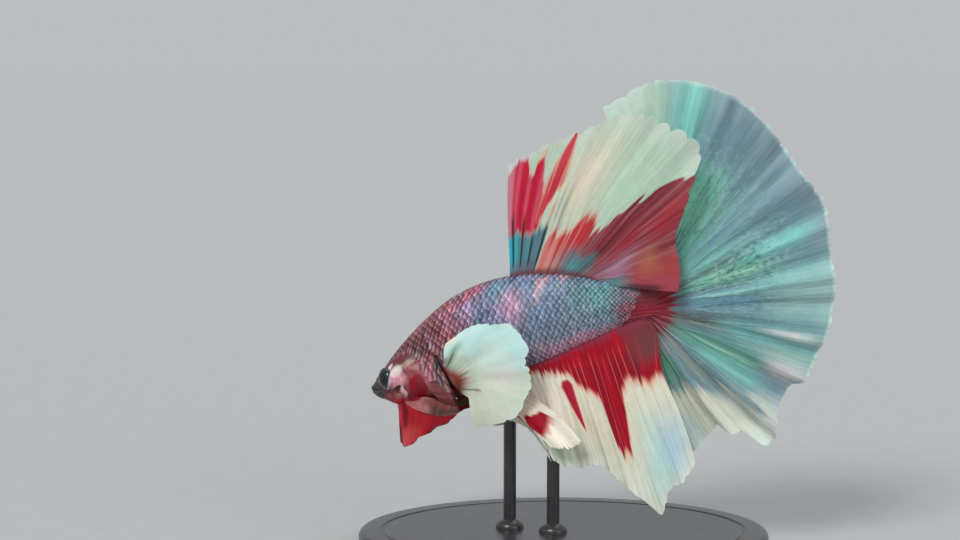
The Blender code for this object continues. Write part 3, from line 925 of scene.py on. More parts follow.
def cover_tint(u, v):
    """The gill cover's markings: the face's own, with growth streaks and a dark hind edge."""
    cloud = grain(u * 9, v * 9, 14) - 0.5
    fan = grain(np.arctan2(v - 0.15, u + 0.12) * 22, np.hypot(u, v) * 2, 16) - 0.5
    tint = np.asarray((0.29, 0.060, 0.062)) * column(1 + 0.5 * cloud + 0.45 * fan)
    tint = face_tint(tint, gill_surface(1, u, v)[0], np.ones_like(u))
    tint = tint * column(1 + 0.22 * fan)
    return painted(
        tint,
        ((0.10, 0.045, 0.058), 0.8 * fall(0.38, 0.56, v - 0.1 * u) * step(0.5, 0.75, u)),
        ((0.075, 0.075, 0.088), 0.75 * fall(0.34, 0.5, v) * step(0.80, 0.90, u + 0.1 * cloud)),
        ((0.05, 0.028, 0.022), 0.9 * step(0.95, 0.99, u + 0.03 * cloud) * step(0.2, 0.45, v)),
    )


def cover_place(side, around, s, v, out):
    """A point out from a gill cover's middle; towards its top the cover lies close on the body."""
    cover, outward = gill_surface(side, s, v)
    t = lerp(*GILL_HINGE, v) + curve(GILL_LENGTHS, v) * MM * s / STANDARD_LENGTH
    skin = body_point(t, around, -sizes().skin_depth)
    hug = lerp(0.12, 1.0, step(0.05, 0.55, v))
    return skin + (cover + outward * column(out) - skin) * column(hug * step(0, 0.5, s))


def skin_paths(around):
    """Points and tints of every row of the skin, from the snout to the tail, at angles around."""
    depth = sizes().skin_depth
    half = sizes().cover_thickness / 2
    side, turn = np.where(around < 0, -1.0, 1.0), np.abs(around)
    v = np.clip((turn - GILL_TOP) / (GILL_BOTTOM - GILL_TOP), 0, 1)
    hinge = lerp(*GILL_HINGE, v)
    flap = step(*FREE_TOP, turn) * fall(*FREE_FOOT, turn)
    rows, tints = [], []

    def add(t, out, folded=None, fold_tint=None):
        plain = body_point(t, around, out, rounded=True)
        tint = body_tint(t, around)
        if folded is not None:
            plain = plain + (folded - plain) * column(flap)
            tint = paint_on(tint, fold_tint, step(0.02, 0.35, flap))
        rows.append(plain)
        tints.append(tint)

    for s in np.linspace(0, 1, 120):
        t = hinge * (s**1.25 if s < 1 else 1)
        add(t, head_relief(t, around) * MM - depth)
    behind = SHOULDER - hinge
    for s in np.linspace(0, 1, 42)[1:]:
        t = hinge + behind * 0.5 * s
        ribs = 0.05 * np.cos(v * 46) * hill(v, 0.85, 0.25) + 0.05 * (grain(s * 8 + 0 * v, v * 14, 17) - 0.5)
        high = half + ribs * MM + 0.06 * MM * hill(s, 0.93, 0.05)
        add(t, -depth, cover_place(side, around, s, v, high), cover_tint(s + 0 * v, v))
    for angle in np.linspace(90, -90, 7)[1:-1]:
        turned = math.radians(angle)
        cover = cover_place(side, around, 1 + 0 * v, v, half * math.sin(turned) + 0 * v)
        back = unit(gill_surface(side, 1.02 + 0 * v, v)[0] - gill_surface(side, 1 + 0 * v, v)[0])
        edge = cover + back * half * math.cos(turned)
        add(hinge + behind * 0.52, -depth, edge, cover_tint(1 + 0 * v, v))
    inside = np.asarray((0.10, 0.006, 0.010))
    for s in np.linspace(1, 0.14, 20):
        t = hinge + behind * lerp(0.54, 0.70, 1 - s)
        cover = cover_place(side, around, s + 0 * v, v, -half + 0 * v)
        add(t, -depth, cover, np.broadcast_to(inside, cover.shape))
    for s in np.linspace(0, 1, 24)[:-1]:
        t = hinge + behind * lerp(0.70, 1, s)
        chamber = lerp(hinge + 0.012, SHOULDER, s)
        comb = 0.12 * np.cos(np.radians(turn) * 40) * hill(s, 0.35, 0.3)
        deep = step(86, 116, turn)
        out = -depth - curve(GILL_RECESS, chamber) * MM * step(0, 0.12, s) * deep + comb * deep * MM
        shown = np.maximum(step(0.30, 0.62, s + 0 * t), fall(90, 108, turn))
        tint = inside + (body_tint(chamber, around) - inside) * column(shown)
        add(t, -depth, body_point(chamber, around, out), tint)
    for t in np.concatenate((np.linspace(SHOULDER, 0.38, 8), np.linspace(0.38, 1.055, 236)[1:])):
        drawn_in = curve(GILL_RECESS, np.float64(SHOULDER)) * MM * fall(SHOULDER, 0.378, t)
        drawn_in = drawn_in * step(86, 116, turn)
        add(t + 0 * around, -depth - drawn_in * flap)
    return np.array(rows), np.array(tints)


def build_skin():
    """One closed skin from the lips to the root of the tail, with the gill covers as folds of it."""
    around = np.linspace(-180, 180, 193)
    rows, tints = skin_paths(around)
    obj, u, v = make_grid("betta_skin", len(around) - 1, len(rows) - 1)
    i = np.rint(v * (len(rows) - 1)).astype(int)
    j = np.rint(u * (len(around) - 1)).astype(int)
    place_vertices(obj, rows[i, j])
    give_tint(obj, tints[i, j])
    close_up(obj)
    nodes = ("jaw_upper", "jaw_lower", "head", "trunk_front", "trunk_rear", "tail_stem")
    covers = ("gill_cover_left", "gill_cover_right")
    return finish_piece(obj, skin_material(), *nodes, *covers, slot="skin_maroon", angle=70)


# ---------------------------------------------------------------- scales


def scale_pattern():
    """One scale, modelled once: its (along, across, height) and faces, free end at along = 1."""
    obj, u, v = make_grid("scale_pattern", 4, 3)
    across = 2 * u - 1
    bulge = 0.20 * (1 - across**2)
    along = v * (1 - 0.34 * np.abs(across) ** 2.2)
    width = across * (1 - 0.18 * (1 - v))
    place_vertices(obj, np.stack((along, width, bulge + 0.9 * v), -1))
    solid = obj.modifiers.new("thickness", "SOLIDIFY")
    solid.thickness = 0.22
    solid.offset = -1
    apply_modifiers(obj)
    close_up(obj)
    points = np.array([vertex.co for vertex in obj.data.vertices])
    faces = [tuple(face.vertices) for face in obj.data.polygons]
    bpy.data.objects.remove(obj)
    return points, faces


def cover_share(t, around):
    """(side, share of the way back along the gill cover, share of the way down it) at body points."""
    v = np.clip((np.abs(around) - GILL_TOP) / (GILL_BOTTOM - GILL_TOP), 0, 1)
    reach = curve(GILL_LENGTHS, v) * MM / STANDARD_LENGTH
    return np.where(around < 0, -1.0, 1.0), (t - lerp(*GILL_HINGE, v)) / reach, v


def coat_point(t, around, out, rooted):
    """A point out from the skin, on the gill cover for the scales that are rooted on it."""
    side, s, v = cover_share(t, around)
    plain = body_point(t, around, out, rounded=True)
    high = sizes().cover_thickness / 2 + out + sizes().skin_depth + 0.09 * MM
    cover = cover_place(side, around, np.clip(s, 0, 1.12), v, high)
    flap = step(*FREE_TOP, np.abs(around)) * (s > 0) * rooted
    return plain + (cover - plain) * column(flap)


def even_angles(count):
    """Angles around the body, spaced evenly along the girth of its middle."""
    around = np.linspace(-180, 180, 721)
    ring = body_point(0.56, around)
    walked = np.concatenate(([0], np.cumsum(np.linalg.norm(np.diff(ring, axis=0), axis=1))))
    wanted = (np.arange(count) + 0.5) / count * walked[-1]
    return np.interp(wanted, walked, around), walked[-1] / count


# Angles from the back and where along the body the scales start there
SCALE_STARTS = (
    (30, 40, 55, 74, 86, 98, 112, 124, 130),
    (0.115, 0.13, 0.195, 0.250, 0.262, 0.278, 0.300, 0.322, 0.352),
)
# Places along the body and the scales' share of their full spacing there
PITCHES = ((0.1, 0.25, 0.5, 0.7, 0.9, 1.0), (0.80, 1.0, 0.96, 0.86, 0.72, 0.62))


def scale_places():
    """(t, around, length, half width) of every scale, both lengths in metres."""
    angles, spacing = even_angles(sizes().scale_rows)
    girth = curve(SECTIONS, 0.56, 1) + curve(SECTIONS, 0.56, 2)
    stations = [0.10]
    while stations[-1] < 1:
        pitch = float(np.interp(stations[-1], *PITCHES)) * sizes().scale_step
        stations.append(stations[-1] + pitch / 2 / STANDARD_LENGTH)
    places = []
    for row, around in enumerate(angles):
        turn = abs(around)
        start = float(np.interp(turn, *SCALE_STARTS))
        end = float(np.interp(turn / 180, *STEM_EDGE))
        for t in stations[row % 2 :: 2]:
            if t < start or t > end:
                continue
            width = spacing * float(curve(SECTIONS, t, 1) + curve(SECTIONS, t, 2)) / float(girth)
            step_along = float(np.interp(t, *PITCHES)) * sizes().scale_step
            share = cover_share(t, around)[1]
            if turn < 79 or share < 0.99 or t > 0.352 or (share > 1.12 and turn < 106):
                places.append((t, around, step_along * 1.62, width * 1.12))
    return np.array(places)


def clear_of_eyes(places):
    points = body_point(places[:, 0], places[:, 1])
    near = np.minimum(eye_distance(points, 1), eye_distance(points, -1))
    return places[near > 1.55]


def build_scales():
    """A coat of overlapping scales for each flank, every scale a small solid of its own."""
    pattern, faces = scale_pattern()
    places = clear_of_eyes(scale_places())
    material = scale_material()
    for name, side in SIDES:
        chosen = places[np.sign(places[:, 1]) == side]
        scale_coat("scales_" + name, chosen, pattern, np.array(faces), material)


def scale_coat(name, places, pattern, faces, material):
    size = sizes()
    t, around, along, half = (column(places[:, k]) for k in range(4))
    chance = np.random.default_rng(21).random((len(places), 4))
    along = along * (0.95 + 0.1 * chance[:, 1:2])
    x, y, z = pattern[:, 0], pattern[:, 1], pattern[:, 2]
    root = t - 0.35 * along / STANDARD_LENGTH
    local_t = root + x * along / STANDARD_LENGTH
    ahead = body_point(t, around + 0.5)
    per_degree = np.linalg.norm(ahead - body_point(t, around - 0.5), axis=-1)
    local_around = around + y * half / per_degree
    lift = size.scale_lift * (0.85 + 0.3 * chance[:, :1])
    out = -size.skin_depth - 0.05 * MM + z * lift
    rooted = cover_share(t, around)[1] < 0.99
    points = coat_point(local_t, local_around, out, rooted)
    count = len(pattern)
    all_faces = (faces[None] + np.arange(len(places))[:, None, None] * count).reshape(-1, 4)
    mesh = bpy.data.meshes.new(name)
    mesh.from_pydata(points.reshape(-1, 3).tolist(), [], all_faces.tolist())
    obj = bpy.data.objects.new(name, mesh)
    bpy.context.scene.collection.objects.link(obj)
    tint = body_tint(t[:, 0], around[:, 0])
    paler = 0.35 * fall(0.40, 0.52, t)
    light = (0.75 - paler / 2) + (0.55 + paler) * chance[:, 2:3]
    tint = np.clip(tint * light + 0.03 * (chance[:, 3:4] - 0.5), 0, 1)
    give_tint(obj, np.repeat(tint, count, axis=0))
    rim = np.maximum(x, np.abs(y) ** 2 * (0.4 + 0.6 * x))
    soft = 1 - 0.11 * step(0.44, 0.58, t) + 0 * rim
    give_value(obj, (rim * soft).ravel(), "rim")
    patch = 0.0015
    u = 0.02 + 0.96 * (around + 180) / 360 + y * patch
    v = 0.02 + 0.94 * t / 1.04 + (x - 0.5) * 2 * patch
    give_map(obj, "OFBake", u.ravel(), v.ravel())
    give_map(obj, "scale", np.tile(y, len(places)), np.tile(x, len(places)))
    finish_piece(obj, material, slot="skin_blue", angle=50)


# ---------------------------------------------------------------- eyes


def eye_material():
    """A wet eye: iris and pupil from the markings, under a clear, hard gloss."""
    material, nodes, links, shader = new_material(
        "betta_eye", 0.12, Coat_Weight=0.45, Coat_Roughness=0.03, Specular_IOR_Level=0.3
    )
    tint = read_attribute(nodes, "tint", "Color")
    fibres = noise_node(nodes, links, 6000, 4)
    shade = ramp_node(nodes, links, fibres, ((0.3, 0.7), (0.7, 1.2)))
    links.new(mix_node(nodes, links, tint, shade), shader.inputs["Base Color"])
    return material


def build_eyes():
    """Both eyes: a flattened, dark ball with a raised front, paler and like the cheek behind, with a painted
    reflection where the two meet.
    """
    material = eye_material()
    for name, side in SIDES:
        centre, axis, ahead, above = eye_frame(side)
        sphere_add = bpy.ops.mesh.primitive_uv_sphere_add
        obj = add_primitive(sphere_add, "betta_eye_" + name, segments=64, ring_count=48, radius=1)
        ball = np.array([vertex.co for vertex in obj.data.vertices])
        away = np.hypot(ball[:, 0], ball[:, 1])
        front = ball[:, 2] > 0
        deep = ball[:, 2] * EYE_HALF_DEPTH * EYE_FIT
        deep += np.where(front, 0.10 * MM * fall(0.35, 0.75, away), 0)
        deep -= np.where(front, 0.05 * MM * hill(away, 0.78, 0.06), 0)
        flat = column(ball[:, 0]) * ahead + column(ball[:, 1]) * above
        world = centre + flat * EYE_RADIUS * EYE_FIT + column(deep) * axis
        place_vertices(obj, world)
        angle = np.arctan2(ball[:, 1], ball[:, 0])
        fibre = grain(angle * 9 + 40, away * 8, 31) - 0.5
        tint = np.broadcast_to((0.016, 0.019, 0.024), ball.shape)
        tint = paint_on(tint, (0.045, 0.052, 0.060), 0.5 * hill(away, 0.70, 0.08) + 0.2 * fibre)
        pupil = np.hypot((ball[:, 0] + 0.36) / 0.42, ball[:, 1] / 0.66)
        x, z = (world[:, 0] - centre[0]) / MM, (world[:, 2] - centre[2]) / MM
        past = x - (0.34 + 0.16 * z + 0.05 * fibre)
        ahead_rim = step(0.05, 0.35, ball[:, 0]) * front
        mirrored = world * np.array((1, side, 1))
        blush = np.broadcast_to((0.52, 0.24, 0.28), ball.shape)
        cheek = face_tint(blush, mirrored, np.ones(len(ball)))
        tint = painted(
            tint,
            ((0.070, 0.068, 0.058), 0.9 * ahead_rim),
            ((0.002, 0.002, 0.003), fall(0.85, 1.0, pupil) * front),
            (cheek, step(-0.02, 0.10, past)),
            # Painted reflection: a thin lilac-white line where the dark of the eye meets the cheek colour
            ((0.70, 0.60, 0.70), 0.8 * hill(past, 0.08, 0.07) * fall(0.2, 0.8, z)),
        )
        give_tint(obj, tint)
        close_up(obj)
        finish_piece(obj, material, "eye_" + name, slot="eye_dark")


# ---------------------------------------------------------------- fins


def branch_distance(place, v, splits):
    """How far a point is from the nearest branch of a ray, in spacings of the first rays."""
    x = np.abs(place - np.floor(place) - 0.5)
    reach = 0.25
    for start, end in splits:
        x = np.abs(x - reach * step(start, end, v))
        reach /= 2
    return x


def build_fan(name, spread, inside, tint, node, slot, rays, grid, splits, edge, pleats, material,
              flesh=0.45, relief=(1.0, 1.0), fade=(0.15, 0.55), buried_rows=3):
    """A fin of branching rays in a thin web, its margin cut by edge and its web folded by pleats.

    spread(u, v) is the fin's middle surface and inside(u) a line under the skin that it grows from.
    splits are the shares of the rays' length over which they fork. Pleats are (folds across the fin,
    depth in millimetres, seed). relief is how much of the rays' height shows at the root and at the
    margin, changing over the part of their length that fade gives. flesh is how much thicker the fin
    is at its root, in millimetres. The first buried_rows rows run from the inside line to the root;
    tint sees them as v from -1 to 0.
    """
    size = sizes()
    obj, u, q = make_grid(name, *grid)
    buried = buried_rows / grid[1]
    v = np.clip((q - buried) / (1 - buried), 0, 1)
    reach = edge(u)
    w = v * (1 - (1 - reach) * step(0.25, 0.9, v))
    points = spread(u, w)
    across = spread(np.minimum(u + 1e-3, 1), w) - spread(np.maximum(u - 1e-3, 0), w)
    along = spread(u, np.minimum(w + 1e-3, 1.1)) - spread(u, np.maximum(w - 1e-3, 0))
    spacing = np.maximum(np.linalg.norm(across, axis=-1), 1e-9)
    spacing = spacing / (np.minimum(u + 1e-3, 1) - np.maximum(u - 1e-3, 0)) / rays
    normal = unit(np.cross(across, along + 1e-12))
    place = u * rays
    fold = np.zeros_like(u)
    for count, depth, seed in pleats:
        wobble = 0.35 * (grain(u * count * 0.7 + 5, w * 2.2, seed) - 0.5)
        fold += np.cos(2 * np.pi * (u * count + wobble)) * depth * MM * w**1.6
    distance = branch_distance(place, w, splits)
    thin = size.ray_width * (1 - 0.45 * w)
    ridge = hill(distance * spacing, 0, thin)
    rays_left = lerp(*relief, step(*fade, w))
    dip = np.cos(np.pi * np.clip(distance * spacing / (3 * thin), 0, 1)) * step(0.1, 0.4, w)
    fold += 0.05 * MM * dip * rays_left
    points = points + normal * column(fold)
    start = inside(u)
    sunk = np.clip(q / buried, 0, 1)
    points = np.where(column(q) < buried, start + (points - start) * column(sunk), points)
    place_vertices(obj, points)
    thickness = size.web_thickness * (1 - 0.35 * w)
    thickness += size.ray_height * ridge * (1 - 0.6 * w) * rays_left
    thickness += flesh * MM * hill(w, 0, 0.07)
    give_tint(obj, tint(u, np.where(q < buried, sunk - 1, w), ridge, place))
    give_value(obj, ridge, "ridge")
    lengths = np.linalg.norm(spread(u, np.ones_like(u)) - spread(u, np.zeros_like(u)), axis=-1)
    give_map(obj, "fan", u * rays, w * lengths / MM)
    thicken(obj, thickness)
    return finish_piece(obj, material, node, slot=slot, angle=80)


def scallops(u, count, depth, seed, base=1.0):
    """A margin of shallow lobes, uneven in width and depth, with fine teeth."""
    place = u * count + 0.5 + 0.55 * (grain(u * count * 0.45 + 11, 0 * u + 5, seed) - 0.5)
    lobe = np.floor(place).astype(int)
    off = np.abs(place - lobe - 0.5) * 2
    chance = np.random.default_rng(seed).random(count + 4)
    deep = depth * (0.1 + chance[lobe] * chance[lobe + 1] * 2.2)
    ragged = 0.6 * depth * (grain(u * count * 2.4, 0 * u + 3, seed) - 0.5)
    return base * (1 - deep * off**3 - ragged)


def bent(root, across, lean, rise):
    """Points of a fin that stands in the body's bent midplane and leans aside."""
    bend = median_y(root[..., 0] + across) - median_y(root[..., 0])
    return root + vectors(across, bend + lean, rise)


def drawn_out(place, v, fine, seed):
    """Noise about zero that is drawn out along the rays, with fine cells to each ray's width."""
    return grain(place * fine + 7, v * 1.7 + 3, seed) - 0.5


def settled(v):
    """How far a fin's root stands off the body: it meets the skin and lifts clear along the fin."""
    return GAP * step(0.2, 0.5, v) - 0.16 * MM * fall(0.2, 0.5, v)


def dorsal_surface(u, v):
    root = body_point(lerp(*DORSAL_ROOT, u), 0, settled(v))
    across, rise = ray_reach(DORSAL_RAYS, u, v)
    return bent(root, across, -0.24 * u * np.hypot(across, rise), rise)


def dorsal_tint(u, v, ridge, place):
    """The back fin: blue foot, red front, cream and green web, and a band that ends wine red."""
    c = colours()
    chance = ray_chance(place, 3)
    fanned = place + 7 * step(0.80, 1.1, u)
    finger = 0.75 * drawn_out(fanned, v, 4, 41) + 0.65 * drawn_out(fanned, v, 11, 43)
    finger = finger + 0.3 * (chance - 0.5)
    cloud = grain(u * 9, v * 5, 42) - 0.5
    tint = np.broadcast_to((0.50, 0.66, 0.54), u.shape + (3,))
    shade = hill(u, 0.315, 0.010) + hill(u, 0.355, 0.014) + 0.6 * hill(u, 0.285, 0.007)
    tint = painted(
        tint,
        ((0.62, 0.68, 0.50), 0.8 * hill(u, 0.42, 0.13) * hill(v, 0.55, 0.26)),
        ((0.60, 0.52, 0.42), 0.35 * hill(u, 0.44, 0.03) * hill(v, 0.52, 0.12)),
        ((0.44, 0.70, 0.52), 0.6 * hill(u, 0.60, 0.07) * hill(v, 0.62, 0.25)),
        ((0.36, 0.52, 0.44), 0.5 * step(0.0, 0.5, finger) * hill(u, 0.60, 0.10) * hill(v, 0.75, 0.2)),
        ((0.60, 0.66, 0.60), 0.55 * step(0.84, 1.0, v + 0.15 * cloud)),
        ((0.80, 0.69, 0.55), 0.80 * hill(u, 0.40, 0.13) * hill(v, 0.60, 0.26)),
        ((0.20, 0.27, 0.22), 0.62 * shade * hill(v, 0.44, 0.15)),
        ((0.30, 0.36, 0.36), 0.55 * hill(u, 0.365, 0.02) * hill(v, 0.30, 0.05)),
    )
    front = fall(0.205, 0.228, u + 0.02 * finger)
    top = np.interp(
        u, (0, 0.03, 0.045, 0.075, 0.10, 0.125, 0.15, 0.165, 0.185, 0.2, 0.23),
        (0.86, 0.90, 0.97, 0.99, 0.82, 0.76, 0.90, 0.93, 0.68, 0.58, 0.50),
    )
    red = front * step(0.29, 0.36, v + 0.10 * finger) * fall(-0.02, 0.03, v - top + 0.12 * finger)
    bands = np.cos(2 * np.pi * (place * 1.15 + 0.30) + 1.2 * finger)
    tint = painted(
        tint,
        (c.salmon, 0.6 * front * step(0.3, 0.4, v) * fall(0.0, 0.08, v - top)),
        ((0.56, 0.015, 0.050), red),
        ((0.62, 0.10, 0.16), 0.75 * red * step(0.1, 0.9, bands)),
        ((0.44, 0.008, 0.035), 0.85 * red * step(0.2, 0.95, -bands) * hill(v, 0.55, 0.3)),
        ((0.62, 0.24, 0.32), red * fall(0.02, 0.04, u) * 0.85),
        ((0.66, 0.66, 0.74), 0.8 * fall(0.06, 0.11, u) * step(0.90, 0.95, v + 0.1 * finger)),
    )
    centre = np.interp(v, (0.40, 0.6, 0.97), (0.207, 0.243, 0.250))
    width = np.interp(v, (0.36, 0.48, 0.62, 0.80, 0.92, 1.0), (0.008, 0.020, 0.040, 0.028, 0.014, 0.004))
    streak = (u - centre) / width + 0.8 * finger
    blue = np.asarray((0.10, 0.21, 0.26)) * column(1 + 0.5 * finger + 0.4 * cloud)
    base = fall(0.27, 0.30, u + 0.03 * finger) * fall(0.29, 0.345, v + 0.10 * finger)
    first = hill(place - np.floor(place), 0.5, 0.13) * fall(0.28, 0.31, u)
    dark_rays = first * fall(0.30, 0.44, v + 0.3 * (chance - 0.5)) * step(0.03, 0.10, v)
    tint = painted(
        tint,
        ((0.76, 0.30, 0.20), 0.75 * fall(0.9, 1.5, np.abs(streak)) * step(0.34, 0.42, v)),
        ((0.60, 0.06, 0.085), fall(0.6, 1.1, np.abs(streak)) * step(0.34, 0.42, v)),
        ((0.46, 0.02, 0.04), 0.7 * fall(0.2, 0.7, np.abs(streak)) * hill(v, 0.62, 0.12)),
        ((0.72, 0.32, 0.22), 0.9 * hill(u, 0.280, 0.010) * hill(v, 0.42, 0.05)),
        (blue, base),
        ((0.04, 0.30, 0.36), 0.55 * base * step(0.0, 0.4, finger)),
        ((0.02, 0.46, 0.56), base * fall(0.045, 0.09, u + 0.03 * finger) * 0.9),
        ((0.13, 0.10, 0.14), 0.6 * base * fall(0.06, 0.15, v)),
        ((0.012, 0.016, 0.022), 0.95 * dark_rays),
    )
    band_top = np.interp(
        u, (0.28, 0.31, 0.34, 0.42, 0.50, 0.535, 0.555, 0.58, 0.62, 0.65, 0.68, 0.73, 0.80, 1.0),
        (0.16, 0.25, 0.26, 0.24, 0.29, 0.39, 0.30, 0.33, 0.29, 0.33, 0.43, 0.70, 1.05, 1.2),
    )
    over = v - band_top + 0.13 * finger
    start = step(0.285, 0.315, u + 0.02 * finger)
    band = start * fall(-0.02, 0.02, over)
    wine = band * step(0.55, 0.66, u + 0.05 * finger)
    pale = hill(u, 0.925, 0.045) * hill(v, 0.28, 0.24)
    tan = hill(u, 0.94, 0.03) * hill(v, 0.66, 0.13)
    low = step(0.965, 0.985, u + 0.02 * finger)
    wisps = hill(u, 0.64, 0.15) * fall(0.08, 0.19, v + 0.12 * finger)
    tint = painted(
        tint,
        ((0.74, 0.34, 0.26), 0.65 * start * fall(0.0, 0.06, over) * fall(0.6, 0.7, u)),
        ((0.54, 0.040, 0.055), band),
        ((0.66, 0.25, 0.22), 0.9 * band * step(-0.15, 0.2, finger + 0.3 * cloud) * fall(0.58, 0.66, u)),
        ((0.66, 0.26, 0.20), 0.6 * band * hill(u, 0.36, 0.05) * fall(0.10, 0.2, v)),
        ((0.27, 0.05, 0.065), wine),
        ((0.36, 0.15, 0.17), 0.75 * wine * step(0.02, 0.35, finger)),
        ((0.16, 0.02, 0.035), 0.75 * wine * step(0.05, 0.35, -finger)),
        ((0.08, 0.012, 0.022), 0.45 * wine * step(0.35, 0.9, ridge) * fall(0.8, 1.0, v)),
        ((0.42, 0.018, 0.03), 0.8 * wine * hill(u, 0.86, 0.045) * hill(v, 0.80, 0.2)),
        ((0.34, 0.012, 0.025), 0.8 * wine * hill(u, 0.84, 0.05) * hill(v, 0.42, 0.14)),
        ((0.40, 0.20, 0.30), 0.95 * pale),
        ((0.55, 0.40, 0.52), 0.6 * pale * step(0.0, 0.35, finger)),
        ((0.42, 0.06, 0.06), 0.75 * wine * step(0.93, 0.96, u) * step(0.35, 0.6, v)),
        ((0.44, 0.14, 0.09), 0.8 * tan),
        ((0.33, 0.24, 0.10), 0.30 * tan * step(0.0, 0.3, finger)),
        ((0.34, 0.05, 0.08), 0.85 * low * step(0.2, 0.5, v)),
        ((0.05, 0.012, 0.02), 0.8 * step(0.985, 0.995, u) * step(0.25, 0.4, v) * fall(0.7, 0.9, v)),
        ((0.05, 0.24, 0.27), 0.95 * wisps),
        ((0.14, 0.42, 0.40), 0.7 * wisps * step(0.0, 0.3, finger)),
    )
    teal_low = step(0.955, 0.975, u) * hill(v, 0.22, 0.16)
    return painted(
        tint,
        ((0.05, 0.25, 0.27), 0.85 * teal_low),
        (c.grey, 0.12 * ridge * (1 - band) * (1 - red) * (1 - base) * fall(0.4, 0.6, v)),
        ((0.15, 0.045, 0.055), fall(0.01, 0.055, v) * 0.85),
    )


def tucked(u):
    """How far the belly fin's last rays start behind the rest, under the tail's root."""
    return 0.052 * step(0.88, 1.0, u)


def anal_surface(u, v):
    root = body_point(lerp(*ANAL_ROOT, u) + tucked(u) * fall(0.05, 0.42, v), 180, settled(v))
    across, rise = ray_reach(ANAL_RAYS, u, v)
    return bent(root, across, -0.14 * np.hypot(across, rise), rise)


def anal_tint(u, v, ridge, place):
    """The belly fin: a red foot that runs out along some rays, cream in front, blue at the rear; the front
    is painted brighter against the breast fins' shadow.
    """
    c = colours()
    chance = ray_chance(place, 4)
    jag = drawn_out(place, v, 3, 51) + 0.6 * drawn_out(place, v, 7, 53) + 0.4 * (chance - 0.5)
    cloud = grain(u * 8, v * 5, 52) - 0.5
    tint = np.broadcast_to(np.asarray(c.cream), u.shape + (3,))
    limit = np.interp(
        u, (0, 0.25, 0.31, 0.46, 0.50, 0.53, 0.60, 0.645, 0.675, 0.70, 0.745, 0.79, 0.83, 0.91, 1.0),
        (0.10, 0.09, 0.11, 0.17, 0.24, 0.33, 0.36, 0.38, 0.74, 0.76, 0.68, 0.34, 0.31, 0.34, 0.39),
    )
    over = v - limit + 0.07 * jag
    red = fall(-0.04, 0.01, over)
    tint = painted(
        tint,
        (c.mint, 0.55 * step(0.45, 0.7, v + 0.5 * cloud) * fall(0.5, 0.7, u)),
        (c.pearl, 0.5 * step(0.75, 1.0, v + 0.2 * cloud)),
        # Painted light: the cream front, painted brighter against the breast fin's shadow on it
        ((0.94, 0.85, 0.73), 0.9 * fall(0.34, 0.48, u) * fall(0.55, 0.8, v)),
        ((0.70, 0.48, 0.38), 0.35 * hill(u, 0.5, 0.12) * hill(v, 0.75, 0.25)),
        ((0.56, 0.58, 0.44), 0.5 * step(0.0, 0.45, jag) * step(0.3, 0.5, v)),
        ((0.50, 0.72, 0.66), 0.7 * hill(u, 0.84, 0.08) * hill(v, 0.82, 0.14)),
        ((0.34, 0.58, 0.74), 0.85 * hill(u, 0.915, 0.095) * hill(v, 0.77, 0.19)),
        (c.mint, 0.5 * hill(u, 0.86, 0.05) * step(0.4, 0.6, v)),
        (c.pearl, 0.6 * step(0.93, 1.0, v) * step(0.8, 0.9, u)),
        (c.salmon, 0.75 * fall(-0.01, 0.05, over)),
        ((0.40, 0.001, 0.016), red),
        ((0.50, 0.006, 0.020), red * 0.7 * step(0.0, 0.35, jag)),
        ((0.24, 0.004, 0.016), red * 0.6 * step(0.0, 0.35, -jag)),
    )
    centre = np.interp(v, (0.22, 0.66), (0.437, 0.465))
    width = np.interp(v, (0.22, 0.27, 0.4, 0.66), (0.018, 0.040, 0.026, 0.005))
    streak = np.abs(u - centre) / width
    inside = step(0.215, 0.24, v) * fall(0.62, 0.70, v)
    pale = red * step(0.55, 0.98, ridge) * step(0.06, 0.16, v) * step(0.25, 0.5, chance + cloud)
    lines = ridge * hill(v, 0.47, 0.10) * (hill(u, 0.875, 0.012) + 0.6 * hill(u, 0.93, 0.01))
    return painted(
        tint,
        (c.salmon, 0.6 * inside * fall(0.9, 1.6, streak)),
        (c.crimson, inside * fall(0.7, 1.1, streak)),
        ((0.10, 0.001, 0.010),
         0.5 * red * step(0.5, 0.95, 1 - ridge) * step(0.3, 0.7, chance) * step(0.1, 0.2, v)),
        ((0.66, 0.26, 0.24), 0.45 * pale * (1 - 0.7 * hill(u, 0.72, 0.04))),
        (c.grey, 0.6 * lines),
        (c.grey, 0.10 * ridge * (1 - red)),
        ((0.13, 0.055, 0.060), 0.8 * step(0.86, 0.95, u) * fall(0.18, 0.32, v)),
        ((0.26, 0.035, 0.07), fall(0.0, 0.07, v + 0.04 * jag) * 0.85),
    )


def caudal_surface(u, v):
    forward, _, up = axes_at(1)
    root = TAIL_ROOT - forward * GAP + up * column(lerp(2.3, -2.4, u)) * MM
    across, rise = ray_reach(CAUDAL_RAYS, u, v)
    away = 0.20 * np.abs(2 * u - 1) ** 2 * np.hypot(across, rise)
    return bent(root, across, away, rise)


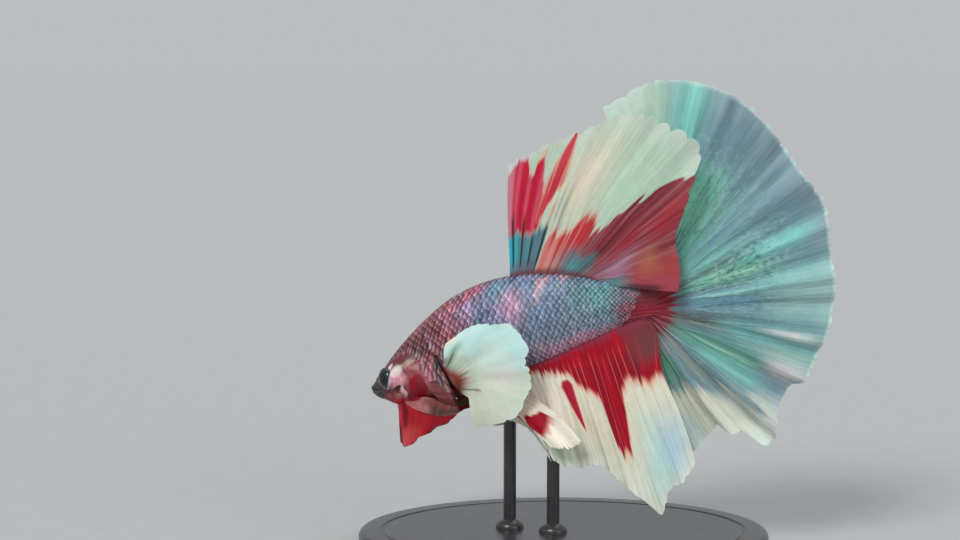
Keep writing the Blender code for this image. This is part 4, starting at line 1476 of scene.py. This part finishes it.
def caudal_tint(u, v, ridge, place):
    """The tail fin: a red foot, green, blue and grey bands along the rays, and a pale margin; where shade
    falls on it, parts are painted lighter.
    """
    c = colours()
    chance = ray_chance(place * 2, 5)
    finger = drawn_out(place, v, 5, 61) + 0.6 * drawn_out(place, v, 12, 64) + 0.3 * (chance - 0.5)
    cloud = grain(u * 14, v * 5, 62) - 0.5
    tint = np.asarray(c.slate) * column(0.90 + 0.25 * finger)
    x, y = u + 0.010 * finger, v + 0.10 * finger

    def band(colour, amount, centre, width, low, high, fade=0.10):
        nonlocal tint
        inside = step(low - fade, low + fade, y) * fall(high - fade, high + fade, y)
        tint = paint_on(tint, colour, amount * hill(x, centre, width) * inside)

    tint = painted(
        tint,
        ((0.42, 0.62, 0.50), fall(0.08, 0.14, x)),
        (c.pearl, 0.4 * fall(0.04, 0.1, x) * step(0.7, 0.95, v)),
    )
    band((0.24, 0.66, 0.58), 0.9, 0.145, 0.034, 0.45, 1.2)
    band((0.10, 0.30, 0.26), 0.6, 0.170, 0.008, 0.60, 1.0)
    band((0.19, 0.60, 0.46), 0.75, 0.300, 0.080, 0.10, 0.58, 0.2)
    band((0.22, 0.60, 0.50), 0.60, 0.400, 0.040, 0.16, 0.60, 0.2)
    # Painted light: a green band painted brighter to make up for the back fin's shadow on it
    band((0.20, 0.62, 0.45), 0.95, 0.215, 0.070, -0.2, 0.64)
    band((0.30, 0.62, 0.46), 0.6, 0.190, 0.012, 0.25, 0.62)
    band((0.12, 0.42, 0.34), 0.7, 0.265, 0.035, -0.2, 0.36)
    band((0.10, 0.32, 0.30), 0.5, 0.330, 0.040, -0.2, 0.45)
    band((0.13, 0.22, 0.34), 0.6, 0.350, 0.030, 0.35, 0.62)
    band((0.24, 0.40, 0.42), 0.5, 0.300, 0.016, 0.45, 0.9)
    band((0.20, 0.60, 0.56), 0.95, 0.452, 0.018, 0.56, 0.93)
    band((0.09, 0.14, 0.13), 0.8, 0.437, 0.016, 0.24, 0.54)
    band((0.12, 0.42, 0.30), 0.9, 0.475, 0.030, 0.22, 0.66)
    band((0.36, 0.72, 0.52), 0.85, 0.487, 0.008, 0.38, 0.66)
    band((0.34, 0.68, 0.52), 0.7, 0.462, 0.006, 0.30, 0.50)
    band(c.aqua, 0.65, 0.530, 0.032, 0.58, 1.2)
    band((0.13, 0.33, 0.42), 0.75, 0.575, 0.028, 0.20, 0.56)
    band((0.26, 0.62, 0.56), 0.8, 0.545, 0.008, 0.26, 0.62)
    band(c.sky, 0.4, 0.600, 0.018, 0.80, 1.2)
    band((0.26, 0.47, 0.43), 0.7, 0.605, 0.032, 0.62, 1.2)
    band((0.15, 0.42, 0.40), 0.8, 0.680, 0.050, 0.36, 1.2)
    band((0.36, 0.54, 0.48), 0.7, 0.715, 0.020, 0.62, 0.98)
    band((0.74, 0.76, 0.76), 0.85, 0.665, 0.009, 0.70, 0.95)
    band((0.09, 0.085, 0.08), 0.92, 0.680, 0.045, 0.10, 0.42)
    band((0.30, 0.45, 0.42), 0.5, 0.690, 0.008, 0.16, 0.44)
    band((0.10, 0.34, 0.25), 0.9, 0.765, 0.040, -0.2, 0.74)
    band((0.22, 0.56, 0.52), 0.85, 0.795, 0.018, 0.36, 0.80)
    band((0.34, 0.66, 0.54), 0.8, 0.760, 0.006, 0.30, 0.70)
    band((0.40, 0.62, 0.56), 0.5, 0.560, 0.05, 0.70, 1.2, 0.15)
    band((0.72, 0.68, 0.70), 0.85, 0.745, 0.018, 0.76, 1.0)
    band((0.24, 0.33, 0.29), 0.85, 0.865, 0.034, -0.2, 0.50)
    # The lower tip: pale cream, with painted light over it against the shade where the fin leans away
    low = step(0.80, 0.88, x) * step(0.50, 0.66, y)
    tip = step(0.78, 0.83, x) * fall(0.90, 0.94, x) * step(0.74, 0.88, y + 0.1 * finger)
    tint = painted(
        tint,
        ((0.68, 0.72, 0.58), low * 0.95),
        # Painted light: the outer part of the lower tip, painted paler
        ((0.62, 0.82, 0.78), low * 0.8 * step(0.84, 0.95, v) * hill(u, 0.87, 0.05)),
        ((0.70, 0.66, 0.52), low * 0.6 * step(0.0, 0.4, finger)),
        ((0.30, 0.50, 0.46), low * 0.3 * step(0.1, 0.45, -finger) * fall(0.7, 0.8, v)),
        # Painted light: a pale pool on the lower tip
        ((0.86, 0.90, 0.80), 0.65 * tip),
    )
    band((0.13, 0.36, 0.24), 0.9, 0.965, 0.040, -0.2, 0.50)
    band(c.sky, 0.45, 0.985, 0.020, 0.78, 1.2)
    root_end = np.interp(
        u, (0, 0.2, 0.36, 0.45, 0.55, 0.60, 0.70, 0.80, 1.0),
        (0.05, 0.08, 0.14, 0.16, 0.15, 0.13, 0.15, 0.13, 0.10),
    )
    over = v - root_end + 0.06 * finger
    tint = paint_on(tint, (0.10, 0.12, 0.12), 0.55 * fall(0.0, 0.12, over))
    rows = 62 * v + 3 * grain(place * 2, v * 0 + 1, 66)
    spots = step(0.64, 0.78, grain(place * 11, rows, 67)) * step(0.12, 0.2, v) * fall(0.62, 0.8, v)
    dotted = np.clip(hill(u, 0.47, 0.07) + 0.35 * hill(u, 0.60, 0.07) + 0.55 * hill(u, 0.26, 0.08), 0, 1)
    flecks = step(0.66, 0.8, grain(place * 13 + 5, rows * 1.3, 68)) * fall(0.7, 0.9, v)
    margin = step(0.980, 0.995, v + 0.006 * cloud) + 0.22 * step(0.84, 1.0, v + 0.12 * finger)
    lines = step(0.45, 0.95, ridge) * step(0.2, 0.4, v) * fall(0.75, 0.95, v)
    green_lines = step(0.4, 0.9, ridge) * step(0.90, 0.94, u) * hill(v, 0.45, 0.3)
    root = fall(-0.02, 0.03, over)
    pale = step(0.3, 0.8, 1 - ridge) * step(0.02, 0.06, v) * fall(0.2, 0.34, v) * step(0.62, 0.9, u)
    return painted(
        tint,
        ((0.03, 0.09, 0.09), 0.55 * spots * dotted),
        ((0.38, 0.70, 0.58), 0.40 * flecks * (0.2 + 0.8 * dotted) * step(0.15, 0.25, v) * (1 - low)),
        ((0.36, 0.62, 0.52), 0.35 * lines * step(0.45, 0.8, chance)),
        (c.ink, 0.26 * lines * fall(0.2, 0.5, chance) * (1 - low)),
        ((0.03, 0.12, 0.08), 0.75 * green_lines),
        ((0.62, 0.76, 0.74), 0.62 * margin),
        ((0.20, 0.025, 0.045), root),
        ((0.38, 0.008, 0.025), 0.7 * root * step(0.0, 0.3, finger)),
        ((0.05, 0.012, 0.02), 0.7 * root * step(0.4, 0.9, ridge)),
        ((0.50, 0.36, 0.40), 0.5 * pale * step(-0.1, 0.2, finger)),
    )


def pectoral_surface(side, u, v):
    (t0, around0), (t1, around1) = PECTORAL_ROOT
    free = step(0.0, 0.35, v)
    t = lerp(lerp(0.352, 0.335, u), lerp(t0, t1, u), free)
    around = lerp(lerp(112, 164, u), lerp(around0, around1, u), free)
    root = body_point(t, around * side, (GAP + FIN_THICKNESS / 2) * lerp(0.2, 1.0, free))
    forward, left, _ = axes_at(t0)
    spread = PECTORAL_SPREAD[side]
    back = left * side * math.sin(spread) - forward * math.cos(spread)
    across, rise = ray_reach(PECTORAL_RAYS, u, v)
    bow = left * side * column(np.sin(math.pi * v) * 0.6 * MM)
    return root + back * column(across) + vectors(0, 0, rise) + bow


def pectoral_tint(u, v, ridge, place):
    """A breast fin: pale green and blue, with a brown-red foot and a few dark rays."""
    c = colours()
    cloud = grain(u * 5, v * 3.2, 72) - 0.5
    finger = drawn_out(place, v, 3, 71) + 0.6 * drawn_out(place, v, 8, 73)
    tint = np.broadcast_to((0.70, 0.80, 0.67), u.shape + (3,))
    edge = 0.05 + 0.05 * hill(u, 0.55, 0.30) + 0.02 * finger + 0.05 * cloud
    lobe = fall(-0.05, 0.07, v - edge)
    tint = painted(
        tint,
        ((0.57, 0.82, 0.79), 0.95 * fall(0.38, 0.66, u + 0.25 * cloud) * step(0.2, 0.5, v)),
        ((0.50, 0.78, 0.80), 0.7 * hill(u, 0.52, 0.10) * step(0.55, 0.85, v)),
        ((0.70, 0.71, 0.58), 0.8 * step(0.66, 0.92, u + 0.25 * cloud)),
        ((0.82, 0.74, 0.70), 0.7 * hill(u, 0.66, 0.10) * hill(v, 0.62, 0.2)),
        ((0.74, 0.70, 0.54), 0.8 * fall(0.06, 0.13, u) * step(0.55, 0.75, v)),
        ((0.46, 0.52, 0.52), 0.5 * hill(u, 0.83, 0.04) * hill(v, 0.30, 0.08)),
        (c.pearl, 0.3 * step(0.90, 1, v)),
        ((0.20, 0.38, 0.27), 0.8 * hill(u, 0.13, 0.05) * fall(0.42, 0.72, v)),
        ((0.66, 0.42, 0.34), 0.7 * hill(u, 0.62, 0.12) * fall(0.10, 0.24, v + 0.2 * finger)),
        ((0.68, 0.40, 0.34), 0.75 * fall(-0.02, 0.14, v - edge) * step(0.3, 0.5, u)),
        ((0.36, 0.050, 0.040), lobe),
        ((0.50, 0.09, 0.065), 0.8 * lobe * hill(u, 0.5, 0.2) * hill(v, 0.06, 0.04)),
        ((0.66, 0.36, 0.28), 0.7 * lobe * fall(0.02, 0.05, v) * step(0.2, 0.5, u)),
        ((0.09, 0.055, 0.035), 0.6 * lobe * hill(u, 0.9, 0.12)),
    )
    # Dark rays near the root: place along the fin, how far out and how wide
    dark = ((0.13, 0.40, 0.012), (0.50, 0.25, 0.010), (0.585, 0.20, 0.010), (0.80, 0.36, 0.013))
    for at, reach, width in dark:
        line = hill(u, at, width) * step(0.06, 0.10, v) * fall(reach - 0.08, reach, v)
        tint = paint_on(tint, (0.10, 0.085, 0.055), 0.8 * line)
    faint = step(0.35, 0.9, ridge) * step(0.1, 0.16, v) * fall(0.20, 0.34, v + 0.2 * finger)
    return paint_on(tint, (0.24, 0.16, 0.11), 0.12 * faint)


def pelvic_surface(side, u, v):
    t, around = PELVIC_PLACE
    root = body_point(t + PELVIC_WIDTH * u, around * side, GAP + FIN_THICKNESS / 2)
    across, rise = ray_reach(PELVIC_RAYS[side], u, v)
    lean = axes_at(t)[1] * column(PELVIC_LEAN[side] * np.hypot(across, rise))
    return bent(root, across, 0, rise) + lean


def pelvic_tint(u, v, ridge, place):
    """A pelvic fin: cream, painted brighter against the breast fin's shadow, with a red stretch towards its
    end.
    """
    c = colours()
    jag = grain(place * 2 + 9, v * 4 + 3, 81) - 0.5
    # Painted light: cream painted brighter than its own colour against the breast fin's shadow
    tint = np.broadcast_to((0.95, 0.86, 0.72), u.shape + (3,))
    tint = painted(
        tint,
        ((0.90, 0.92, 0.84), 0.4 * step(0.4, 0.9, u + 0.3 * jag)),
        (c.salmon, 0.2 * hill(v, 0.45, 0.2)),
    )
    top = np.interp(u, (0, 0.2, 0.75, 0.85), (0.62, 0.52, 0.57, 0.70))
    low = np.interp(u, (0, 0.1, 0.4, 0.75, 0.85), (0.80, 0.87, 0.79, 0.70, 0.70))
    red = step(-0.02, 0.02, v - top + 0.03 * jag) * fall(-0.03, 0.03, v - low + 0.08 * jag)
    return painted(
        tint,
        (c.salmon, 0.7 * red),
        ((0.34, 0.001, 0.014), red * fall(-0.08, 0.01, v - low)),
        (c.wine, fall(0.02, 0.12, v)),
    )


def buried_line(t, around):
    """The line under the skin that a fin grows from, between two places on the body."""
    return lambda u: body_point(lerp(*t, u), lerp(*around, u), -ROOT_DEPTH)


def build_tail_fin():
    forward, _, up = axes_at(1)
    middle = TAIL_ROOT + forward * 1.2 * MM
    build_fan(
        "caudal_fin_web", caudal_surface,
        lambda u: middle + up * column(lerp(2.2, -2.0, u)) * MM,
        caudal_tint, "caudal_fin", "fin_teal",
        rays=14,
        grid=(560, 84),
        splits=((0.16, 0.40), (0.38, 0.66), (0.62, 0.95)),
        edge=lambda u: scallops(u, 46, 0.022, 65) * straight(CAUDAL_EDGE, u),
        pleats=((11, 0.58, 66), (24, 0.19, 67)),
        material=fin_material("tail_web", streaking=0.6),
        relief=(1.0, 0.3),
        fade=(0.12, 0.45),
    )


def build_back_fin():
    build_fan(
        "dorsal_fin_web", dorsal_surface, buried_line(DORSAL_ROOT, (0, 0)),
        dorsal_tint, "dorsal_fin", "fin_teal",
        rays=13,
        grid=(420, 76),
        splits=((0.30, 0.60), (0.55, 0.90)),
        edge=lambda u: scallops(u, 20, 0.026, 45),
        pleats=((6, 0.34, 46), (13, 0.08, 47)),
        material=fin_material("back_web", streaking=0.6),
        relief=(1.0, 0.15),
    )


def build_belly_fin():
    build_fan(
        "anal_fin_web", anal_surface,
        lambda u: body_point(lerp(*ANAL_ROOT, u) + tucked(u), 180, -ROOT_DEPTH),
        anal_tint, "anal_fin", "fin_red",
        rays=25,
        grid=(560, 76),
        splits=((0.45, 0.85),),
        edge=lambda u: scallops(u, 30, 0.020, 55) * straight(ANAL_EDGE, u),
        pleats=((8, 0.34, 56), (19, 0.08, 57)),
        material=fin_material("belly_web", streaking=0.7),
        relief=(1.0, 0.4),
    )


def build_breast_fins():
    material = fin_material("pectoral_web", 0.5, 0.25, 0.25)
    for name, side in SIDES:
        build_fan(
            "pectoral_fin_web_" + name,
            lambda u, v, side=side: pectoral_surface(side, u, v),
            buried_line((0.345, 0.330), (112 * side, 164 * side)),
            pectoral_tint, "pectoral_fin_" + name, "fin_cream",
            rays=13,
            grid=(300, 64),
            splits=((0.25, 0.55), (0.50, 0.85)),
            edge=lambda u: scallops(u, 24, 0.018, 75) * (1.01 - 0.09 * grain(u * 17, 0 * u, 76)),
            pleats=((3.5, 0.26, 77), (8, 0.05, 78)),
            material=material,
            flesh=0.5,
            relief=(0.3, 0.0),
            fade=(0.05, 0.30),
        )


def build_pelvic_fins():
    material = fin_material("pelvic_web", 0.5, 0.25)
    t, around = PELVIC_PLACE
    for name, side in SIDES:
        build_fan(
            "pelvic_fin_web_" + name,
            lambda u, v, side=side: pelvic_surface(side, u, v),
            buried_line((t, t + PELVIC_WIDTH), (around * side, around * side)),
            pelvic_tint, "pelvic_fin_" + name, "fin_cream",
            rays=5,
            grid=(100, 72),
            splits=((0.25, 0.6), (0.55, 0.9)),
            edge=lambda u: scallops(u, 8, 0.04, 85),
            pleats=((1.5, 0.20, 86),),
            material=material,
            flesh=0.4,
            relief=(1.0, 0.5),
        )


# ---------------------------------------------------------------- gill membranes


def beard_surface(side, u, v):
    """A gill membrane that hangs as a beard: u runs back from the chin and v down."""
    chin = body_point(np.array(BEARD_START), 172 * side, GAP * 1.6 + 0.25 * MM)
    forward, left, up = axes_at(BEARD_HINGE)
    drop = 0.8 if side > 0 else -0.3
    corner = gill_surface(side, np.array([1.0]), np.array([1.0]))[0].reshape(3) - up * drop * MM
    angle = np.radians(curve(BEARD_RAYS, u, 1))
    reach = curve(BEARD_RAYS, u, 2) * MM * v * BEARD_REACH[side]
    spread = left * side * column(reach * lerp(0.12, 0.6, u))
    sag = up * column(np.sin(math.pi * u) * 0.7 * MM)
    down = vectors(0, 0, -np.cos(angle)) - forward * column(np.sin(angle))
    return chin + (corner - chin) * column(u) - sag + down * column(reach) + spread


def beard_tint(u, v, ridge, place):
    """A gill membrane: red, with a brown hem at the top, a painted shadow of the gill cover just under the
    hem, and a dark lower edge.
    """
    cloud = grain(u * 5, v * 4, 91) - 0.5
    streak = grain(u * 34, v * 2.5, 92) - 0.5
    tint = np.asarray((0.52, 0.012, 0.025)) * column(0.78 + 0.3 * cloud + 0.25 * streak)
    rear = step(0.40, 0.62, u + 0.2 * cloud + 0.1 * streak)
    shares = (0, 0.15, 0.19, 0.26, 0.35, 0.5, 0.6, 0.85, 1)
    hem = np.interp(u, shares, (-1.2, -1.1, -0.40, -0.15, 0.0, 0.08, 0.13, 0.32, 0.45)) + 0.03 * cloud
    back = column(step(0.38, 0.58, u + 0.2 * cloud))
    bone = lerp(np.array((0.44, 0.15, 0.155)), np.array((0.125, 0.062, 0.045)), back)
    bone = bone * column(1 + 0.5 * streak)
    upper = step(0.42, 0.55, u) * fall(-0.65, -0.35, v + 0.3 * cloud)
    tint = painted(
        tint,
        ((0.56, 0.075, 0.085), 0.7 * hill(u, 0.16, 0.14) * step(0.3, 0.7, v)),
        ((0.26, 0.001, 0.010), 0.9 * rear),
        ((0.11, 0.004, 0.010), 0.95 * hill(u, 0.115, 0.045) * fall(0.35, 0.65, v)),
        ((0.42, 0.07, 0.09), 0.8 * fall(0.02, 0.05, u) * fall(0.3, 0.5, v)),
        ((0.035, 0.012, 0.012), 0.9 * fall(0.02, 0.06, u) * step(0.42, 0.6, v)),
        # Painted shadow: a dark band just under the hem, where the gill cover overhangs
        ((0.15, 0.008, 0.015), 0.85 * fall(0.02, 0.12, v - hem)),
        (bone, fall(-0.015, 0.015, v - hem)),
        ((0.28, 0.065, 0.060), 0.85 * upper),
    )
    patch = fall(0.85, 1.12, np.hypot((u - 0.315) / 0.095, (v + 1.0) / 0.34))
    return painted(
        tint,
        ((0.27, 0.001, 0.014), patch),
        ((0.14, 0.01, 0.016), 0.8 * hill(u, 0.12, 0.05) * step(0.90, 0.97, v)),
        ((0.10, 0.008, 0.014), 0.5 * ridge * step(0.5, 0.6, u)),
        ((0.045, 0.008, 0.012), 0.92 * step(0.86, 0.96, v) * step(0.42, 0.55, u)),
    )


def build_gill_membranes():
    material = fin_material("gill_membrane", 0.36, 0.05)
    for name, side in SIDES:
        def roots(u, side=side):
            throat = body_point(lerp(BEARD_START, 0.24, u), lerp(172, 150, u) * side, -0.5 * MM)
            back = np.clip((u - 0.42) / 0.58, 0, 1)
            cover = gill_surface(side, back, np.ones_like(u))[0]
            belly = body_point(0.36, 172 * side, -0.5 * MM)
            cover = cover + (belly - cover) * column(step(0.70, 1.0, u) * (side < 0))
            return throat + (cover - throat) * column(step(0.30, 0.50, u))

        build_fan(
            "gill_beard_" + name, lambda u, v, side=side: beard_surface(side, u, v), roots,
            beard_tint, "gill_membrane_" + name, "membrane_red",
            rays=6,
            grid=(150, 76),
            splits=(),
            edge=lambda u: 1 - 0.04 * grain(u * 9, 0 * u, 95),
            pleats=((3.5, 0.20, 96), (9, 0.04, 97)),
            material=material,
            flesh=0.3,
            relief=(0.6, 0.25),
            buried_rows=16,
        )


# ---------------------------------------------------------------- stand and stage

# Sides of a turned piece, and the angles of a rounded edge from its foot to its top
ROUND = 96
QUARTER = [math.radians(angle) for angle in range(0, 91, 15)]
# The base: how high its underside is hollowed, how far in it stands, and its lower edge's rounding
HOLLOW, FOOT, LOWER_EDGE = 0.2 * MM, 1.6 * MM, 0.3 * MM
# The groove round its top: how far in its outer and inner edges are, and its depth
GROOVE = (3.0 * MM, 3.5 * MM, 0.15 * MM)

CAMERA_TARGET = Vector((-11.8, 0, 39.9)) * MM
CAMERA_DISTANCE = 0.300
CAMERA_ELEVATION = math.radians(6)
CAMERA_LENS = 80.36
DAYLIGHT = (0.95, 0.98, 1.0, 1)
DAYLIGHT_STRENGTH = 0.52


def stand_material():
    """Satin black acrylic with a faint brushed grain."""
    material, nodes, links, shader = new_material(
        "stand_satin_black", 0.3, Coat_Weight=0.25, Coat_Roughness=0.15
    )
    grain_noise = noise_node(nodes, links, 900, 4)
    dark = colours().stand
    light = tuple(value * 1.9 for value in dark)
    ramp = ramp_node(nodes, links, grain_noise, ((0.3, tuple(dark)), (0.75, light)))
    links.new(ramp, shader.inputs["Base Color"])
    vary_roughness(nodes, links, shader, grain_noise, 0.22, 0.42)
    normal = bump_node(nodes, links, grain_noise, 0.00002, 0.3)
    links.new(normal, shader.inputs["Normal"])
    return material


def lathe(name, rings, centre, material, *nodes):
    """A turned piece: a grid rolled up into rings, each (half width, half depth, height)."""
    obj, u, v = make_grid(name, ROUND, len(rings) - 1)
    turn = u * 2 * math.pi
    row = np.rint(v * (len(rings) - 1)).astype(int)
    wide, deep, high = (np.array([ring[k] for ring in rings])[row] for k in range(3))
    points = np.stack((wide * np.cos(turn), deep * np.sin(turn), high), -1)
    place_vertices(obj, points + np.asarray(centre))
    close_up(obj)
    return finish_piece(obj, material, *nodes, slot="stand_black", angle=35)


def build_stand():
    """The oval base with its rounded edge, and two rods with collars and cupped pads."""
    size = bpy.context.scene.betta_stand
    material = stand_material()
    edge = size.bevel

    def oval(inset, height):
        return size.width / 2 - inset, size.depth / 2 - inset, height

    # Recessed underside, small lower edge, then the rounded upper edge and a groove inside it
    rings = [(0, 0, HOLLOW), oval(FOOT + 0.4 * MM, HOLLOW), oval(FOOT, 0)]
    rings += [oval(LOWER_EDGE, 0), oval(0, LOWER_EDGE)]
    for turned in QUARTER:
        rings.append(oval(edge * (1 - math.cos(turned)), size.height - edge + edge * math.sin(turned)))
    outer, inner, slope = GROOVE
    rings += [oval(outer, size.height), oval(outer + slope, size.height - slope)]
    rings += [oval(inner, size.height - slope), oval(inner + slope, size.height)]
    rings += [(0, 0, size.height)]
    lathe("display_base", rings, (0, 0, 0), material, "stand_base")
    for name in ("stand_rod_front", "stand_rod_rear"):
        low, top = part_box(name)
        centre = ((low.x + top.x) / 2, (low.y + top.y) / 2, 0)
        radius, foot = size.rod_radius, size.height - 0.2 * MM
        rings = [(0, foot), (radius * 2.2, foot)]
        for turned in QUARTER:
            collar = radius * (1 + 1.2 * math.cos(turned) ** 2)
            rings.append((collar, foot + (0.5 + 1.0 * math.sin(turned)) * MM))
        neck = low.z + (top.z - low.z) * 0.93
        rings += [(radius, foot + 2.2 * MM), (radius, neck - 0.6 * MM), (radius * 1.15, neck)]
        rings += [(radius * 1.2, top.z + 0.25 * MM), (0, top.z + 0.35 * MM)]
        rings = [(ring, ring, height) for ring, height in rings]
        lathe("display_" + name.removeprefix("stand_"), rings, centre, material, name)


def sun_light(name, direction, strength, softness, tone):
    """A broad, soft light that shines from a direction on everything alike."""
    light = bpy.data.lights.new(name, "SUN")
    light.energy = strength
    light.angle = math.radians(softness)
    light.color = tone
    obj = bpy.data.objects.new(name, light)
    bpy.context.scene.collection.objects.link(obj)
    obj.location = Vector(direction).normalized()
    obj.rotation_euler = (-obj.location).to_track_quat("-Z", "Y").to_euler()


def build_stage():
    """Camera, a pale plain floor and soft studio light."""
    scene = bpy.context.scene
    camera = bpy.data.cameras.new("camera")
    camera.lens = CAMERA_LENS
    camera.sensor_width = 36
    camera.clip_start, camera.clip_end = 0.01, 50
    holder = bpy.data.objects.new("camera", camera)
    scene.collection.objects.link(holder)
    back = Vector((0, -math.cos(CAMERA_ELEVATION), math.sin(CAMERA_ELEVATION)))
    holder.location = CAMERA_TARGET + back * CAMERA_DISTANCE
    holder.rotation_euler = (-back).to_track_quat("-Z", "Y").to_euler()
    scene.camera = holder

    circle_add = bpy.ops.mesh.primitive_circle_add
    floor = add_primitive(circle_add, "studio_floor", vertices=96, radius=6, fill_type="NGON")
    paper, nodes, links, shader = new_material("studio_paper", 0.85)
    fibres = noise_node(nodes, links, 260, 4)
    tone = tuple(colours().floor)
    soft = tuple(value * 0.97 for value in tone)
    ramp = ramp_node(nodes, links, fibres, ((0.35, soft), (0.65, tone)))
    links.new(ramp, shader.inputs["Base Color"])
    floor.data.materials.append(paper)

    world = bpy.data.worlds.new("studio")
    world.use_nodes = True
    background = world.node_tree.nodes["Background"]
    background.inputs["Color"].default_value = DAYLIGHT
    background.inputs["Strength"].default_value = DAYLIGHT_STRENGTH
    scene.world = world
    sun_light("key_light", (-0.45, -0.75, 0.80), 1.75, 22, (1.0, 0.98, 0.95))
    sun_light("fill_light", (0.75, -0.60, 0.35), 0.45, 40, (0.95, 0.98, 1.0))
    sun_light("top_light", (0.10, 0.25, 1.0), 0.55, 50, (1.0, 1.0, 1.0))
    scene.view_settings.view_transform = "Standard"


# ---------------------------------------------------------------- operators, panel and run


class BETTA_OT_stage(bpy.types.Operator):
    """Add the camera, the floor and the lights"""

    bl_idname = "betta.stage"
    bl_label = "Stage"
    bl_options = {"REGISTER", "UNDO"}

    def execute(self, context):
        build_stage()
        return {"FINISHED"}


class BETTA_OT_skin(bpy.types.Operator):
    """Add the skin with its gill covers"""

    bl_idname = "betta.skin"
    bl_label = "Skin"
    bl_options = {"REGISTER", "UNDO"}

    def execute(self, context):
        build_skin()
        return {"FINISHED"}


class BETTA_OT_scales(bpy.types.Operator):
    """Add a coat of scales for each flank"""

    bl_idname = "betta.scales"
    bl_label = "Scales"
    bl_options = {"REGISTER", "UNDO"}

    def execute(self, context):
        build_scales()
        return {"FINISHED"}


class BETTA_OT_eyes(bpy.types.Operator):
    """Add both eyes"""

    bl_idname = "betta.eyes"
    bl_label = "Eyes"
    bl_options = {"REGISTER", "UNDO"}

    def execute(self, context):
        build_eyes()
        return {"FINISHED"}


class BETTA_OT_membranes(bpy.types.Operator):
    """Add the membranes that hang under the gill covers"""

    bl_idname = "betta.membranes"
    bl_label = "Gill membranes"
    bl_options = {"REGISTER", "UNDO"}

    def execute(self, context):
        build_gill_membranes()
        return {"FINISHED"}


class BETTA_OT_tail_fin(bpy.types.Operator):
    """Add the tail fin"""

    bl_idname = "betta.tail_fin"
    bl_label = "Tail fin"
    bl_options = {"REGISTER", "UNDO"}

    def execute(self, context):
        build_tail_fin()
        return {"FINISHED"}


class BETTA_OT_back_fin(bpy.types.Operator):
    """Add the fin of the back"""

    bl_idname = "betta.back_fin"
    bl_label = "Back fin"
    bl_options = {"REGISTER", "UNDO"}

    def execute(self, context):
        build_back_fin()
        return {"FINISHED"}


class BETTA_OT_belly_fin(bpy.types.Operator):
    """Add the fin of the belly"""

    bl_idname = "betta.belly_fin"
    bl_label = "Belly fin"
    bl_options = {"REGISTER", "UNDO"}

    def execute(self, context):
        build_belly_fin()
        return {"FINISHED"}


class BETTA_OT_breast_fins(bpy.types.Operator):
    """Add the pair of pectoral fins"""

    bl_idname = "betta.breast_fins"
    bl_label = "Breast fins"
    bl_options = {"REGISTER", "UNDO"}

    def execute(self, context):
        build_breast_fins()
        return {"FINISHED"}


class BETTA_OT_pelvic_fins(bpy.types.Operator):
    """Add the pair of pelvic fins"""

    bl_idname = "betta.pelvic_fins"
    bl_label = "Pelvic fins"
    bl_options = {"REGISTER", "UNDO"}

    def execute(self, context):
        build_pelvic_fins()
        return {"FINISHED"}


class BETTA_OT_stand(bpy.types.Operator):
    """Add the display stand"""

    bl_idname = "betta.stand"
    bl_label = "Stand"
    bl_options = {"REGISTER", "UNDO"}

    def execute(self, context):
        build_stand()
        return {"FINISHED"}


OPERATORS = (
    BETTA_OT_stage,
    BETTA_OT_skin,
    BETTA_OT_scales,
    BETTA_OT_eyes,
    BETTA_OT_membranes,
    BETTA_OT_tail_fin,
    BETTA_OT_back_fin,
    BETTA_OT_belly_fin,
    BETTA_OT_breast_fins,
    BETTA_OT_pelvic_fins,
    BETTA_OT_stand,
)


class BETTA_PT_pieces(bpy.types.Panel):
    """Lists the pieces of the fish, each with a button that adds it."""

    bl_label = "Betta"
    bl_idname = "BETTA_PT_pieces"
    bl_space_type = "VIEW_3D"
    bl_region_type = "UI"
    bl_category = "Betta"

    def draw(self, context):
        for operator in OPERATORS:
            self.layout.operator(operator.bl_idname)
        for group_name, _ in GROUPS:
            group = getattr(context.scene, group_name)
            box = self.layout.box()
            for name in group.bl_rna.properties.keys():
                if name not in ("rna_type", "name"):
                    box.prop(group, name)


GROUPS = (
    ("betta_sizes", BettaSizes),
    ("betta_colours", BettaColours),
    ("betta_stand", StandSizes),
)


def register():
    for name, group in GROUPS:
        bpy.utils.register_class(group)
        setattr(bpy.types.Scene, name, PointerProperty(type=group))
    for operator in OPERATORS:
        bpy.utils.register_class(operator)
    bpy.utils.register_class(BETTA_PT_pieces)


def unregister():
    bpy.utils.unregister_class(BETTA_PT_pieces)
    for operator in reversed(OPERATORS):
        bpy.utils.unregister_class(operator)
    for name, group in reversed(GROUPS):
        delattr(bpy.types.Scene, name)
        bpy.utils.unregister_class(group)


def main():
    register()
    for operator in OPERATORS:
        name = operator.bl_idname.split(".")[1]
        getattr(bpy.ops.betta, name)()


if __name__ == "__main__":
    main()
